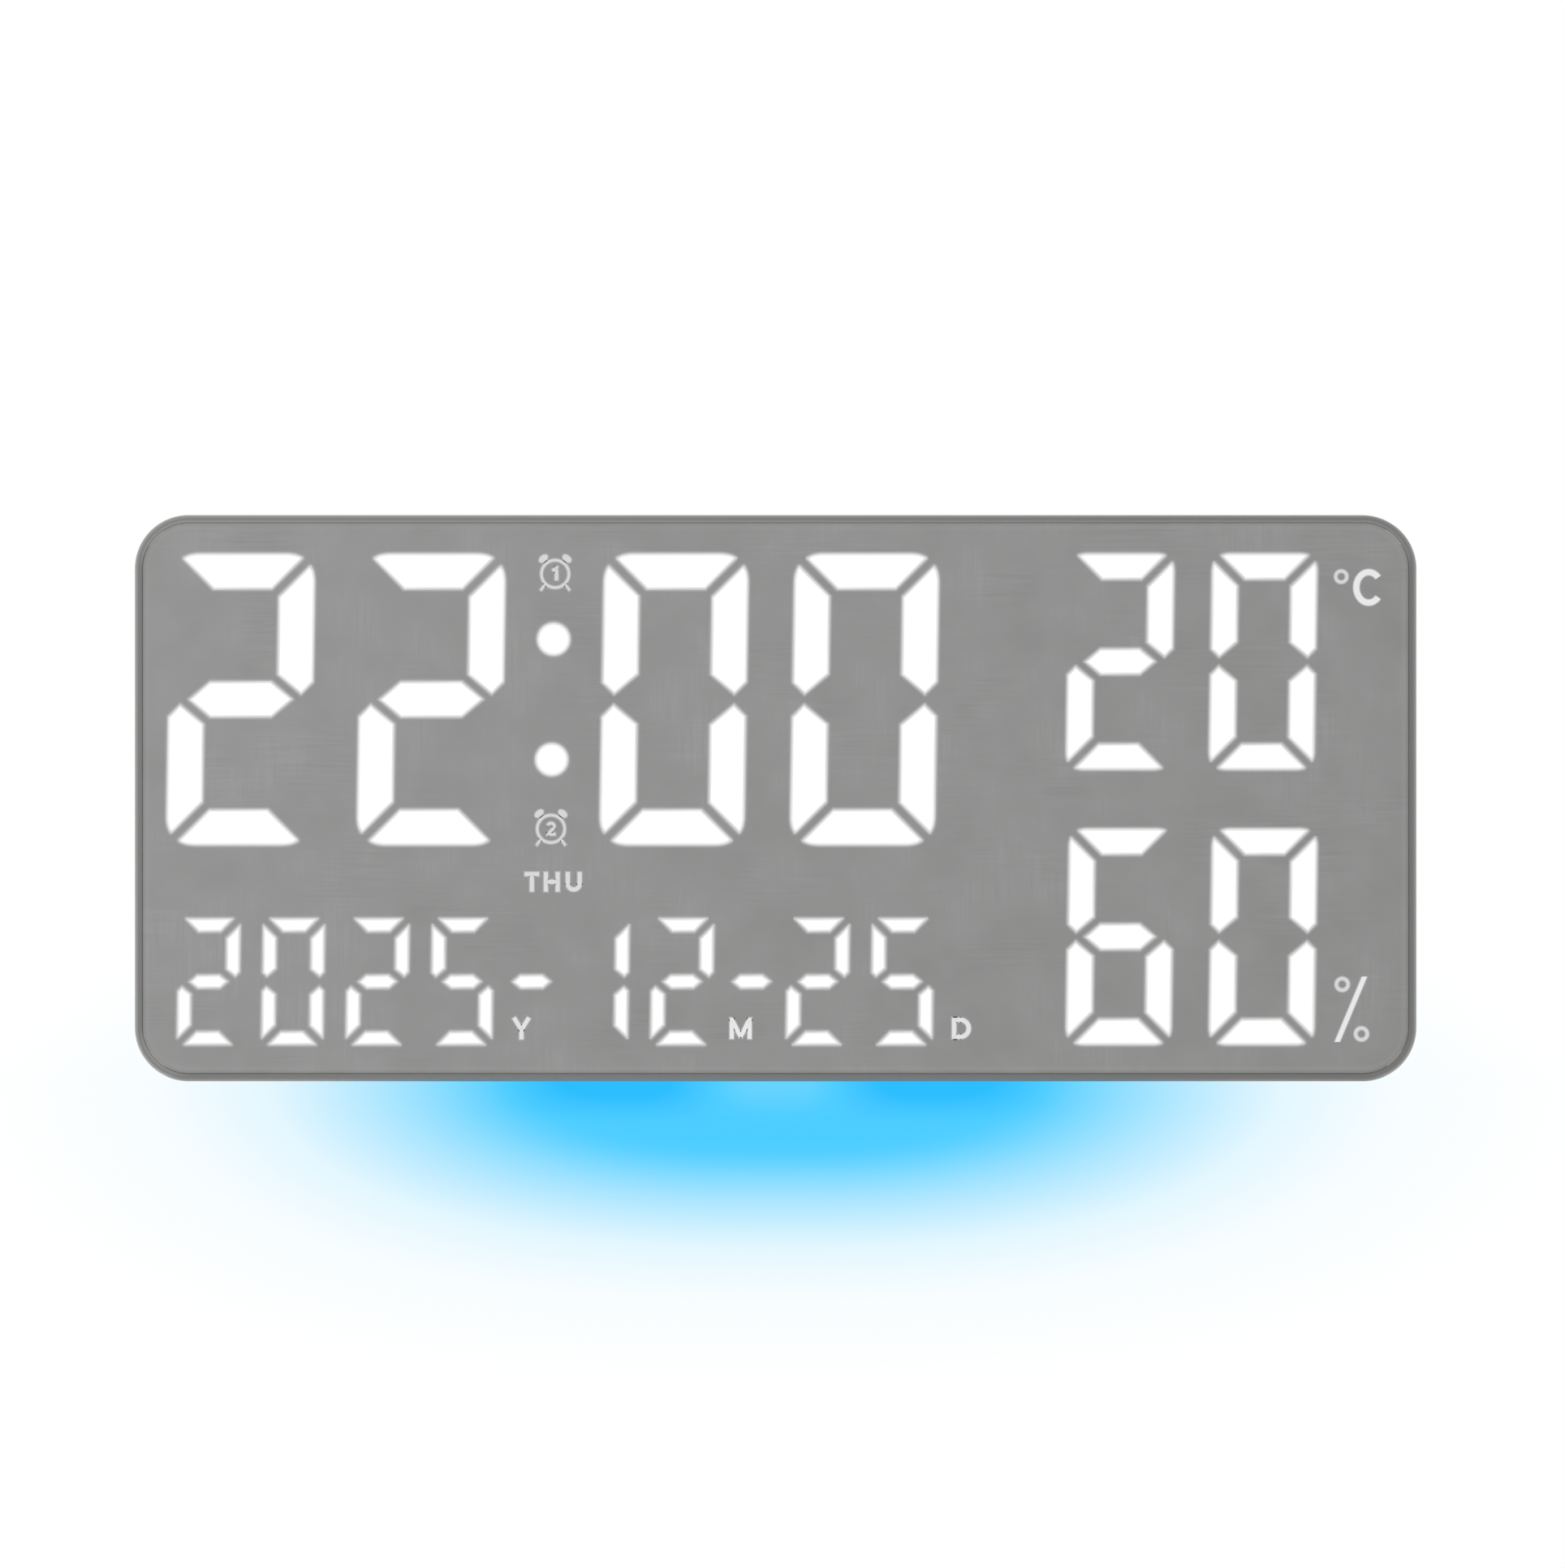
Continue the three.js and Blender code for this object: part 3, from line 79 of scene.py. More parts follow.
class Amount:
    """A number that varies over a surface. Arithmetic on it adds Math nodes."""

    def __init__(self, finish, socket):
        self.finish = finish
        self.socket = socket

    def math(self, operation, *others):
        return self.finish.math(operation, self, *others)

    def __add__(self, other):
        return self.math("ADD", other)

    def __radd__(self, other):
        return self.finish.math("ADD", other, self)

    def __sub__(self, other):
        return self.math("SUBTRACT", other)

    def __rsub__(self, other):
        return self.finish.math("SUBTRACT", other, self)

    def __mul__(self, other):
        return self.math("MULTIPLY", other)

    def __rmul__(self, other):
        return self.finish.math("MULTIPLY", other, self)

    def __truediv__(self, other):
        return self.math("DIVIDE", other)

    def __pow__(self, other):
        return self.math("POWER", other)

    def __abs__(self):
        return self.math("ABSOLUTE")


class Finish:
    """A material, or the world, in the making: its nodes, and the shader that its fields feed."""

    def __init__(self, name, kept_in=bpy.data.materials):
        self.owner = kept_in.new(name)
        self.owner.use_nodes = True
        self.tree = self.owner.node_tree
        self.tree.nodes.clear()

    def node(self, kind, settings=None, inputs=None, output=0):
        """A node of that kind: its settings first, then its sockets' values or links."""
        made = self.tree.nodes.new(kind)
        for key, value in (settings or {}).items():
            if key == "stops":
                set_stops(made.color_ramp, value)
            else:
                setattr(made, key, value)
        for key, value in (inputs or {}).items():
            self.feed(made.inputs[key], value)
        return Amount(self, made.outputs[output]) if made.outputs else None

    def feed(self, socket, value):
        if isinstance(value, Amount):
            self.tree.links.new(value.socket, socket)
        else:
            socket.default_value = value

    def math(self, operation, *values):
        return self.node("ShaderNodeMath", {"operation": operation}, dict(enumerate(values)))

    def place(self, scale):
        """Object coordinates, stretched by a scale."""
        where = self.node("ShaderNodeTexCoord", output="Object")
        return self.node("ShaderNodeMapping", inputs={"Vector": where, "Scale": scale})

    def axes(self):
        """Object coordinates, as three numbers."""
        where = self.node("ShaderNodeTexCoord", output="Object")
        return [self.node("ShaderNodeSeparateXYZ", inputs={0: where}, output=axis) for axis in "XYZ"]

    def noise(self, size, detail=2.0, roughness=0.5, stretch=(1, 1, 1)):
        """Noise with features of that size in metres, longer along the axes that are stretched."""
        scale = tuple(1 / s for s in stretch)
        return self.node("ShaderNodeTexNoise", {"noise_dimensions": "3D"}, {
            "Vector": self.place(scale), "Scale": 1 / size, "Detail": detail, "Roughness": roughness,
        })

    def between(self, value, low, high, smooth=True):
        """How far a value is on its way from low to high, from 0 to 1."""
        kind = "SMOOTHSTEP" if smooth else "LINEAR"
        return self.node("ShaderNodeMapRange", {"interpolation_type": kind, "clamp": True}, {
            "Value": value, "From Min": low, "From Max": high, "To Min": 0.0, "To Max": 1.0,
        })

    def tint(self, factor, first, second):
        """A colour on the way from the first to the second."""
        return self.node("ShaderNodeMix", {"data_type": "RGBA", "clamp_factor": True}, {
            0: factor, 6: first, 7: second,
        }, output=2)

    def ramp(self, factor, stops):
        return self.node("ShaderNodeValToRGB", {"stops": stops}, {"Fac": factor})

    def mark(self, name):
        """A value that a piece's points carry, and nothing where a piece has none."""
        return self.node("ShaderNodeAttribute", {"attribute_name": name}, output="Fac")

    def bump(self, height, strength, distance):
        return self.node("ShaderNodeBump", inputs={
            "Height": height, "Strength": strength, "Distance": distance,
        })

    def surface(self, **fields):
        """The principled shader with those fields, by socket name with underscores for spaces."""
        names = {key.replace("_", " "): value for key, value in fields.items()}
        shader = self.node("ShaderNodeBsdfPrincipled", inputs=names)
        return self.show(shader)

    def show(self, shader, output="ShaderNodeOutputMaterial"):
        """Ends the tree with that shader."""
        self.node(output, inputs={"Surface": shader})
        return self.owner


def set_stops(ramp, stops):
    while len(ramp.elements) < len(stops):
        ramp.elements.new(1.0)
    for element, (position, colour) in zip(ramp.elements, stops):
        element.position = position
        element.color = colour


# Finishes

def edge_distance(finish):
    """Distance inwards from the housing's outline, on the face."""
    x, _, z = finish.axes()
    side = abs(x) - (HALF_WIDTH - FRAME_CORNER)
    top = abs(z) - (HALF_HEIGHT - FRAME_CORNER)
    corner = (side.math("MAXIMUM", 0) ** 2 + top.math("MAXIMUM", 0) ** 2) ** 0.5
    straight = side.math("MAXIMUM", top).math("MINIMUM", 0)
    return FRAME_CORNER - (corner + straight)


def open_field(finish):
    """1 where light reaches the edge of the face: along the top and in three corners. It is little in
    the lower right corner, and 0 along the other sides."""
    x, _, z = finish.axes()
    start, end = FRAME_CORNER * 1.1, FRAME_CORNER * 0.5
    shaded = 0.8
    right = finish.between(x, 0, HALF_WIDTH / 2)
    low = 1 - finish.between(z, -HALF_HEIGHT / 2, 0)
    corners = (
        finish.between(abs(x), HALF_WIDTH - start, HALF_WIDTH - end)
        * finish.between(abs(z), HALF_HEIGHT - start, HALF_HEIGHT - end)
        * (1 - right * low * shaded)
    )
    top = finish.between(z, HALF_HEIGHT - 8 * MM, HALF_HEIGHT - 3 * MM)
    return top.math("MAXIMUM", corners)


def face_finish():
    """Mid grey sheet: soft clouds of tone with a few linen-like streaks, darker to the right and a little
    lighter towards the top. Painted light spills out round the windows. At the rim there is a painted
    shade, with a faint painted highlight line just inside it.
    """
    finish = Finish("face_sheet")
    x, _, z = finish.axes()
    across = finish.between(x, -HALF_WIDTH, HALF_WIDTH, smooth=False)
    upwards = finish.between(z, -HALF_HEIGHT, HALF_HEIGHT, smooth=False)
    warp = finish.noise(1.3 * MM, 2.0, 0.6, (0.7, 1, 14))
    weft = finish.noise(1.2 * MM, 2.0, 0.6, (16, 1, 0.7))
    warp_patches = finish.between(finish.noise(17 * MM, 2.0, 0.5), 0.5, 0.72)
    weft_patches = finish.between(finish.noise(21 * MM, 2.0, 0.5, (1.6, 1, 1)), 0.46, 0.68)
    streaks = (warp - 0.5) * (warp_patches + 0.06) + (weft - 0.5) * (weft_patches + 0.08)
    cloud = finish.noise(17 * MM, 2.0, 0.5) - 0.5
    tone = 0.62 + streaks + cloud - across * 0.45 + upwards * 0.2
    grey = finish.tint(tone, srgb(134.5, 134.5, 134), srgb(152, 152, 152))
    # Painted light: the grey turns paler where light spills out round the lit windows
    spill = finish.tint(finish.mark("spill"), grey, srgb(175, 175, 175))
    inwards = edge_distance(finish)
    # Painted shade along the rim of the face
    shade = 1 - finish.between(inwards, RIM_WIDTH - 0.9 * MM, RIM_WIDTH + 1.0 * MM)
    # Painted highlight: a faint lighter line just inside the painted shade
    line = (
        finish.between(inwards, RIM_WIDTH + 0.8 * MM, RIM_WIDTH + 1.2 * MM)
        * (1 - finish.between(inwards, RIM_WIDTH + 1.6 * MM, RIM_WIDTH + 2.6 * MM))
    )
    # Colour of the painted shadow, lighter along the top and in the corners, where light reaches the edge
    shadow = finish.tint(open_field(finish), srgb(117, 117, 115), srgb(138, 138, 136))
    edged = finish.tint(shade, finish.tint(line * 0.2, spill, srgb(158, 158, 157)), shadow)
    return finish.surface(
        Base_Color=edged, Roughness=0.42 + streaks * 0.2, Normal=finish.bump(streaks, 0.2, 0.02 * MM),
    )


# The rim's painted light and shade, as its grey at distances from the outline, in millimetres: a pale
# painted highlight at the outline and dark painted shade in the groove
RIM_LIGHT_AND_SHADE_STOPS = (
    (0.0, 190), (0.2, 178), (0.45, 162), (0.7, 148), (0.95, 135), (1.25, 122), (1.6, 118), (2.3, 121),
)
RIM_REACH = 2.4


def frame_finish():
    """Satin grey plastic, darker to the right. Its rounded nose has a painted highlight, white from the
    wall and narrower along the bottom, and a painted blue reflection along the night light. The groove
    inside the nose has painted shade that is lighter along the top and in three corners."""
    finish = Finish("frame_satin")
    x, y, z = finish.axes()
    across = finish.between(x, -HALF_WIDTH, HALF_WIDTH)
    flow = finish.noise(30 * MM, 3.0, 0.5)
    pits = finish.noise(0.35 * MM, 3.0, 0.6)
    stops = [(place / RIM_REACH, srgb(grey, grey, grey - 1)) for place, grey in RIM_LIGHT_AND_SHADE_STOPS]
    # Painted shade along the bottom: the nose's painted highlight is narrower there
    under = 1 - finish.between(z, -HALF_HEIGHT + 0.4 * MM, -HALF_HEIGHT + 2.2 * MM)
    inwards = edge_distance(finish) + under * (0.4 * MM)
    # This ramp paints the nose's highlight and the groove's shade into the grey
    ramped = finish.ramp(inwards / (RIM_REACH * MM), stops)
    # Painted light: the shaded groove is paler along the top and in three corners
    inner = finish.between(inwards, 1.0 * MM, 2.2 * MM)
    nose = finish.tint(open_field(finish) * inner, ramped, srgb(147, 147, 145))
    # Painted reflection: along the middle of the bottom, the nose takes the blue of the night light's glow
    middle = (
        (1 - finish.between(abs(x), 88 * MM, 150 * MM))
        * (1 - finish.between(z, -HALF_HEIGHT + 0.3 * MM, -HALF_HEIGHT + 1.4 * MM))
    )
    lit = finish.tint(middle, nose, srgb(84, 126, 145))
    wall = finish.tint(flow * 0.7 + pits * 0.3, srgb(112, 112, 110), srgb(120, 120, 118))
    plain = finish.tint(finish.between(y, RIM_FRONT + 1.2 * MM, RIM_FRONT + 3 * MM), lit, wall)
    darker = finish.tint(across * 0.22 + pits * 0.05, plain, srgb(52, 52, 51))
    return finish.surface(
        Base_Color=darker, Roughness=0.4 + pits * 0.12, Normal=finish.bump(pits, 0.3, 0.008 * MM),
    )


def moulded_finish(name, dark, light, roughness, texture, depth):
    """Moulded plastic: a spark-eroded texture of that size, faint flow marks, light scuffs, and a painted
    highlight that makes rounded edges paler.
    """
    finish = Finish(name)
    # How much paler the painted edge highlight and the scuffs make the plastic
    highlight_and_scuff_gain = 1.55
    flow = finish.noise(34 * MM, 4.0, 0.55, (1, 1, 1.8))
    pits = finish.noise(texture, 3.0, 0.65)
    specks = finish.between(finish.noise(texture * 2.2, 1.0, 0.4), 0.58, 0.72)
    scuffs = finish.between(finish.noise(3 * MM, 4.0, 0.7, (5, 1, 0.5)), 0.62, 0.78)
    plain = finish.tint(flow * 0.7 + pits * 0.5 + specks * 0.12 - 0.15, dark, light)
    paler = (*(min(1.0, c * highlight_and_scuff_gain) for c in light[:3]), 1.0)
    # Rounded edges carry a painted highlight. The scuffs are wear.
    return finish.surface(
        Base_Color=finish.tint(finish.mark("worn") * 0.45 + scuffs * 0.12, plain, paler),
        Roughness=roughness + pits * 0.14 - specks * 0.08 - scuffs * 0.06,
        Normal=finish.bump(pits + specks * 0.5, 0.5, depth),
    )


def lit_finish():
    """White light through a frosted lens, softer towards the rim of each segment."""
    finish = Finish("lit_segment")
    frost = finish.noise(6 * MM, 3.0, 0.5)
    fade = finish.mark("rim")
    glow = finish.tint(frost, (1.0, 1.0, 1.0, 1.0), (0.965, 0.968, 0.975, 1.0))
    return finish.surface(
        Base_Color=finish.tint(fade, srgb(124, 124, 125), srgb(100, 100, 100)),
        Emission_Color=finish.tint(fade, glow, (0.42, 0.42, 0.42, 1.0)), Emission_Strength=0.88,
        Roughness=0.45 + frost * 0.2, Normal=finish.bump(frost, 0.15, 0.02 * MM),
    )


def night_light_finish():
    """Frosted bar lit blue, brighter over each of its LEDs."""
    finish = Finish("night_light_bar")
    x, _, _ = finish.axes()
    beat = abs((x / (20 * MM)).math("FRACT") - 0.5) * 2
    frost = finish.noise(1.5 * MM, 2.0, 0.5)
    glow = finish.tint(beat * 0.8 + frost * 0.2, srgb(10, 128, 250), srgb(96, 206, 255))
    return finish.surface(
        Base_Color=finish.tint(frost, srgb(64, 118, 150), srgb(78, 132, 164)), Emission_Color=glow,
        Emission_Strength=0.95, Roughness=0.5 + frost * 0.2, Normal=finish.bump(frost, 0.2, 0.03 * MM),
    )


def laminate_finish():
    """Green solder mask over tracks, with the weave of the laminate under it."""
    finish = Finish("board_mask")
    x, _, z = finish.axes()
    tracks = finish.between(abs((x / (2.54 * MM)).math("FRACT") - 0.5), 0.32, 0.36)
    fields = finish.between(finish.noise(9 * MM, 1.0, 0.4), 0.5, 0.52)
    weave = (x / (0.4 * MM)).math("SINE") * (z / (0.4 * MM)).math("SINE")
    mask = finish.tint(tracks * fields, srgb(18, 74, 44), srgb(34, 104, 62))
    return finish.surface(
        Base_Color=mask, Roughness=0.32 + weave * 0.04, Coat_Weight=0.4,
        Normal=finish.bump(tracks * fields + weave * 0.1, 0.3, 0.03 * MM),
    )


def steel_finish():
    """Zinc-plated steel with fine tool marks and a few dull spots."""
    finish = Finish("plated_steel")
    marks = finish.noise(0.25 * MM, 2.0, 0.6, (6, 1, 1))
    dull = finish.between(finish.noise(3.5 * MM, 3.0, 0.55), 0.42, 0.8)
    return finish.surface(
        Base_Color=finish.tint(dull, srgb(196, 198, 200), srgb(176, 177, 176)),
        Metallic=1.0, Roughness=0.26 + marks * 0.12 + dull * 0.09,
        Normal=finish.bump(marks, 0.2, 0.01 * MM),
    )


finishes = {
    "frame_plastic": frame_finish(),
    "face_plastic": face_finish(),
    "lit_lens": lit_finish(),
    "reflector_plastic": moulded_finish(
        "reflector_white", srgb(226, 226, 221), srgb(240, 240, 236), 0.5, 0.5 * MM, 0.006 * MM,
    ),
    "night_light": night_light_finish(),
    "cover_plastic": moulded_finish(
        "cover_textured", srgb(80, 80, 79), srgb(102, 102, 101), 0.5, 0.6 * MM, 0.07 * MM,
    ),
    "dark_plastic": moulded_finish(
        "dark_satin", srgb(36, 37, 39), srgb(56, 57, 59), 0.38, 0.35 * MM, 0.02 * MM,
    ),
    "board_laminate": laminate_finish(),
    "chip_plastic": moulded_finish(
        "chip_black", srgb(24, 25, 27), srgb(36, 37, 39), 0.45, 0.2 * MM, 0.006 * MM,
    ),
    "steel": steel_finish(),
}


def dress_nodes():
    """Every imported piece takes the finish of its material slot."""
    slots = {part["node"]: part["material_slot"] for part in frame["record"]["subparts"]}
    for name, node in frame["nodes"].items():
        if not node.data.materials:
            node.data.materials.append(None)
        for holder in node.material_slots:
            holder.material = finishes[slots[name]]


# New pieces

def mesh_from(name, shape):
    mesh = bpy.data.meshes.new(name)
    shape.to_mesh(mesh)
    shape.free()
    return mesh


def add_piece(name, mesh, body, slot_name):
    """A finished mesh as a piece of that body."""
    piece = bpy.data.objects.new(name, mesh)
    bpy.context.scene.collection.objects.link(piece)
    if not mesh.materials:
        mesh.materials.append(finishes[slot_name])
    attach(piece, body)
    return piece


def smooth_below(piece, degrees):
    """Rounds the shading over edges below that angle, and keeps flat faces flat."""
    piece.data.shade_smooth()
    piece.data.set_sharp_from_angle(angle=math.radians(degrees))
    weighting = piece.modifiers.new("even_shading", "WEIGHTED_NORMAL")
    weighting.keep_sharp = True
    weighting.weight = 80


def node_shape(node):
    """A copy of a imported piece, with its points merged and its flat faces whole."""
    shape = bmesh.new()
    shape.from_mesh(frame["nodes"][node].data)
    bmesh.ops.remove_doubles(shape, verts=shape.verts, dist=0.002 * MM)
    bmesh.ops.dissolve_limit(
        shape, angle_limit=math.radians(0.4), verts=shape.verts, edges=shape.edges,
    )
    return shape


def round_edges(shape, edges, reach, segments):
    """Rounds edges, and gives back the faces that the rounding adds."""
    return bmesh.ops.bevel(
        shape, geom=edges, offset=reach, affect="EDGES", segments=segments, profile=0.5,
        material=-1, clamp_overlap=True,
    )["faces"]


def sharp_edges(shape, degrees, test=lambda edge: True):
    limit = math.radians(degrees)
    return [
        edge for edge in shape.edges
        if len(edge.link_faces) == 2 and edge.calc_face_angle() > limit and test(edge)
    ]


def block_shape(low, high):
    shape = bmesh.new()
    low, high = Vector(low), Vector(high)
    placing = Matrix.Translation((low + high) / 2) @ Matrix.Diagonal((*(high - low), 1))
    bmesh.ops.create_cube(shape, size=1, matrix=placing)
    return shape


def cut_shape(shape, *cutters):
    """The shape with closed cutters taken away."""
    solids = []
    for i, item in enumerate((shape, *cutters)):
        solid = bpy.data.objects.new(f"solid_{i}", mesh_from(f"solid_{i}", item))
        bpy.context.scene.collection.objects.link(solid)
        solids.append(solid)
    for cutter in solids[1:]:
        cut = solids[0].modifiers.new(cutter.name, "BOOLEAN")
        cut.operation = "DIFFERENCE"
        cut.solver = "EXACT"
        cut.object = cutter
    bpy.context.view_layer.update()
    done = solids[0].evaluated_get(bpy.context.evaluated_depsgraph_get())
    result = bmesh.new()
    result.from_mesh(done.to_mesh())
    done.to_mesh_clear()
    for solid in solids:
        mesh = solid.data
        bpy.data.objects.remove(solid)
        bpy.data.meshes.remove(mesh)
    return result


# Front frame: one profile turned round a corner, drawn out to the middle lines and mirrored twice

FRAME_BACK = -9 * MM
LEDGE_FRONT = -25.8 * MM
LEDGE_BACK = -24.4 * MM
LEDGE_WIDTH = 2 * MM
NOSE = 1.4 * MM
NOSE_STEPS = 6
CORNER_STEPS = 24
INNER_BEVEL = 0.35 * MM
BACK_BEVEL = 0.3 * MM


def frame_profile():
    """The frame's section: its inset from the outline, and y."""
    turn = [math.pi / 2 * i / NOSE_STEPS for i in range(NOSE_STEPS + 1)]
    nose = [(NOSE * (1 - math.cos(a)), RIM_FRONT + NOSE * (1 - math.sin(a))) for a in turn]
    cut = INNER_BEVEL * 0.3
    return [
        *nose,
        (RIM_WIDTH - INNER_BEVEL, RIM_FRONT), (RIM_WIDTH - cut, RIM_FRONT + cut),
        (RIM_WIDTH, RIM_FRONT + INNER_BEVEL), (RIM_WIDTH, LEDGE_FRONT),
        (RIM_WIDTH + LEDGE_WIDTH, LEDGE_FRONT), (RIM_WIDTH + LEDGE_WIDTH, LEDGE_BACK),
        (RIM_WIDTH, LEDGE_BACK + LEDGE_WIDTH), (RIM_WIDTH, FRAME_BACK),
        (BACK_BEVEL, FRAME_BACK), (0, FRAME_BACK - BACK_BEVEL),
    ]


def light_slot():
    """The block that the slot for the night light takes out of the bottom of the frame."""
    covered_end, front, back, height = 1.25 * MM, 9 * MM, 15.4 * MM, 4 * MM
    bar_low, bar_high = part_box("night_light_diffuser")
    half = bar_high.x - covered_end
    return block_shape(
        (-half, RIM_FRONT + front, bar_low.z - MM), (half, RIM_FRONT + back, bar_low.z + height),
    )


def add_front_frame():
    shape = bmesh.new()
    centre = Vector((HALF_WIDTH - FRAME_CORNER, 0, HALF_HEIGHT - FRAME_CORNER))
    verts = [shape.verts.new((HALF_WIDTH - inset, y, centre.z)) for inset, y in frame_profile()]
    section = [shape.edges.new(pair) for pair in zip(verts, verts[1:] + verts[:1])]
    turned = bmesh.ops.spin(
        shape, geom=[*verts, *section], cent=centre, axis=(0, -1, 0), angle=math.pi / 2,
        steps=CORNER_STEPS, use_merge=False,
    )
    last = [item for item in turned["geom_last"] if isinstance(item, bmesh.types.BMEdge)]
    for edges, shift in ((section, (0, 0, -centre.z)), (last, (-centre.x, 0, 0))):
        drawn = bmesh.ops.extrude_edge_only(shape, edges=edges)
        ends = [item for item in drawn["geom"] if isinstance(item, bmesh.types.BMVert)]
        bmesh.ops.translate(shape, vec=shift, verts=ends)
    for axis in "XZ":
        bmesh.ops.mirror(
            shape, geom=[*shape.verts, *shape.edges, *shape.faces], matrix=Matrix.Identity(4),
            merge_dist=0.002 * MM, axis=axis,
        )
    bmesh.ops.recalc_face_normals(shape, faces=shape.faces)
    name = "front_frame_shell"
    mesh = mesh_from(name, cut_shape(shape, light_slot()))
    piece = add_piece(name, mesh, "housing", "frame_plastic")
    smooth_below(piece, 32)
    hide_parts("front_frame")


# Face panel and lit segments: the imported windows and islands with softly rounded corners

ARC_ANGLE = 8
TIP_ANGLE = 31
ACUTE_ANGLE = 100
ARC_REACH = 0.9 * MM
TIP_REACH = 0.45 * MM
ACUTE_REACH = 0.75 * MM
TIP_MERGE = 0.03 * MM
RIM_FADE = 0.95 * MM
SPILL_WIDTH = 0.65 * MM
PANEL_INSET = 2.45 * MM
PANEL_EASE = 0.08 * MM
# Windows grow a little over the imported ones, and islands a little more, so that no seam shows
WINDOW_EASE = 0.11 * MM
ISLAND_EASE = WINDOW_EASE + 0.13 * MM
ISLAND_SETBACK = 0.03 * MM
ISLAND_ROOT = 0.3 * MM
LENS_THICKNESS = 1 * MM
LENS_CORNER = 1.6 * MM


def widen(shape, reach):
    """Moves the walls of prisms that run along Y outwards."""
    moves = []
    for vert in shape.verts:
        walls = [face.normal for face in vert.link_faces if is_wall(face)]
        if len(walls) == 2:
            moves.append((vert, (walls[0] + walls[1]) * reach / (1 + walls[0].dot(walls[1]))))
    for vert, move in moves:
        vert.co += move


def joined_points(start):
    """A point and all those that edges join to it."""
    reached, waiting = {start}, [start]
    while waiting:
        for edge in waiting.pop().link_edges:
            for vert in edge.verts:
                if vert not in reached:
                    reached.add(vert)
                    waiting.append(vert)
    return list(reached)


def is_wall(face):
    return abs(face.normal.y) < 0.5


def mark_rims(shape, fade):
    """Writes on the points of prisms how near the rim they are, over the width in which light fades."""
    rim = shape.verts.layers.float.new("rim")
    shape.verts.index_update()
    walls = [[vert.index for vert in face.verts] for face in shape.faces if is_wall(face)]
    tree = BVHTree.FromPolygons([vert.co for vert in shape.verts], walls)
    for vert in shape.verts:
        inwards = tree.find_nearest(vert.co)[3]
        vert[rim] = max(0.0, 1 - inwards / fade)


def rounded_prisms(node, front, back, fade=0):
    """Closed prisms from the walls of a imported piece's windows or islands, between two planes. The
    wall round the whole piece is left out. With a fade, the points carry how near the rim they are."""
    shape = node_shape(node)
    flat = [face for face in shape.faces if not is_wall(face)]
    bmesh.ops.delete(shape, geom=flat, context="FACES")
    outer = max(shape.verts, key=lambda vert: vert.co.x)
    bmesh.ops.delete(shape, geom=joined_points(outer), context="VERTS")
    loose = [edge for edge in shape.edges if not edge.link_faces]
    bmesh.ops.delete(shape, geom=loose, context="EDGES")
    middle = sum(vert.co.y for vert in shape.verts) / len(shape.verts)
    for vert in shape.verts:
        vert.co.y = front if vert.co.y < middle else back
    bmesh.ops.holes_fill(shape, edges=[e for e in shape.edges if e.is_boundary], sides=0)
    bmesh.ops.recalc_face_normals(shape, faces=shape.faces)

    def along_y(edge):
        return abs(edge.verts[0].co.y - edge.verts[1].co.y) > 0.5 * abs(front - back)

    if fade:
        lit = [face for face in shape.faces if face.normal.y < -0.5]
        bmesh.ops.inset_individual(shape, faces=lit, thickness=fade, use_even_offset=True)
    tip = math.radians(TIP_ANGLE)
    arcs = [edge for edge in sharp_edges(shape, ARC_ANGLE, along_y) if edge.calc_face_angle() < tip]
    round_edges(shape, arcs, ARC_REACH, 3)
    round_edges(shape, sharp_edges(shape, ACUTE_ANGLE, along_y), ACUTE_REACH, 4)
    round_edges(shape, sharp_edges(shape, TIP_ANGLE, along_y), TIP_REACH, 3)
    bmesh.ops.remove_doubles(shape, verts=shape.verts, dist=TIP_MERGE)
    if fade:
        mark_rims(shape, fade)
    return shape


def sheet_shape(low, high, corner, steps):
    """A flat sheet with rounded corners, between two corners of its box."""
    shape = block_shape(low, high)
    upright = [e for e in shape.edges if abs(e.verts[0].co.y - e.verts[1].co.y) > (high[1] - low[1]) / 2]
    round_edges(shape, upright, corner, steps)
    return shape


def join(shape, other):
    """Adds another shape's faces to a shape."""
    mesh = mesh_from("joined", other)
    shape.from_mesh(mesh)
    bpy.data.meshes.remove(mesh)
    return shape


def add_face_panel():
    """The sheet with its windows. Round each window its points carry the light that spills out."""
    low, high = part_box("face_panel")
    snug = Vector((PANEL_EASE, 0, PANEL_EASE))
    sheet = sheet_shape(low - snug, high + snug, FRAME_CORNER - PANEL_INSET, CORNER_STEPS)
    windows = rounded_prisms("face_panel", low.y - MM, high.y + MM)
    widen(windows, WINDOW_EASE)
    shape = cut_shape(sheet, windows)
    spill = shape.verts.layers.float.new("spill")
    front = [face for face in shape.faces if face.normal.y < -0.9]
    bmesh.ops.inset_region(shape, faces=front, thickness=SPILL_WIDTH, use_even_offset=True)
    for vert in {vert for face in shape.faces if is_wall(face) for vert in face.verts}:
        if max(abs(vert.co.x) - HALF_WIDTH, abs(vert.co.z) - HALF_HEIGHT) < -2 * RIM_WIDTH:
            vert[spill] = 1.0
    piece = add_piece("face_sheet", mesh_from("face_sheet", shape), "housing", "face_plastic")
    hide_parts("face_panel")


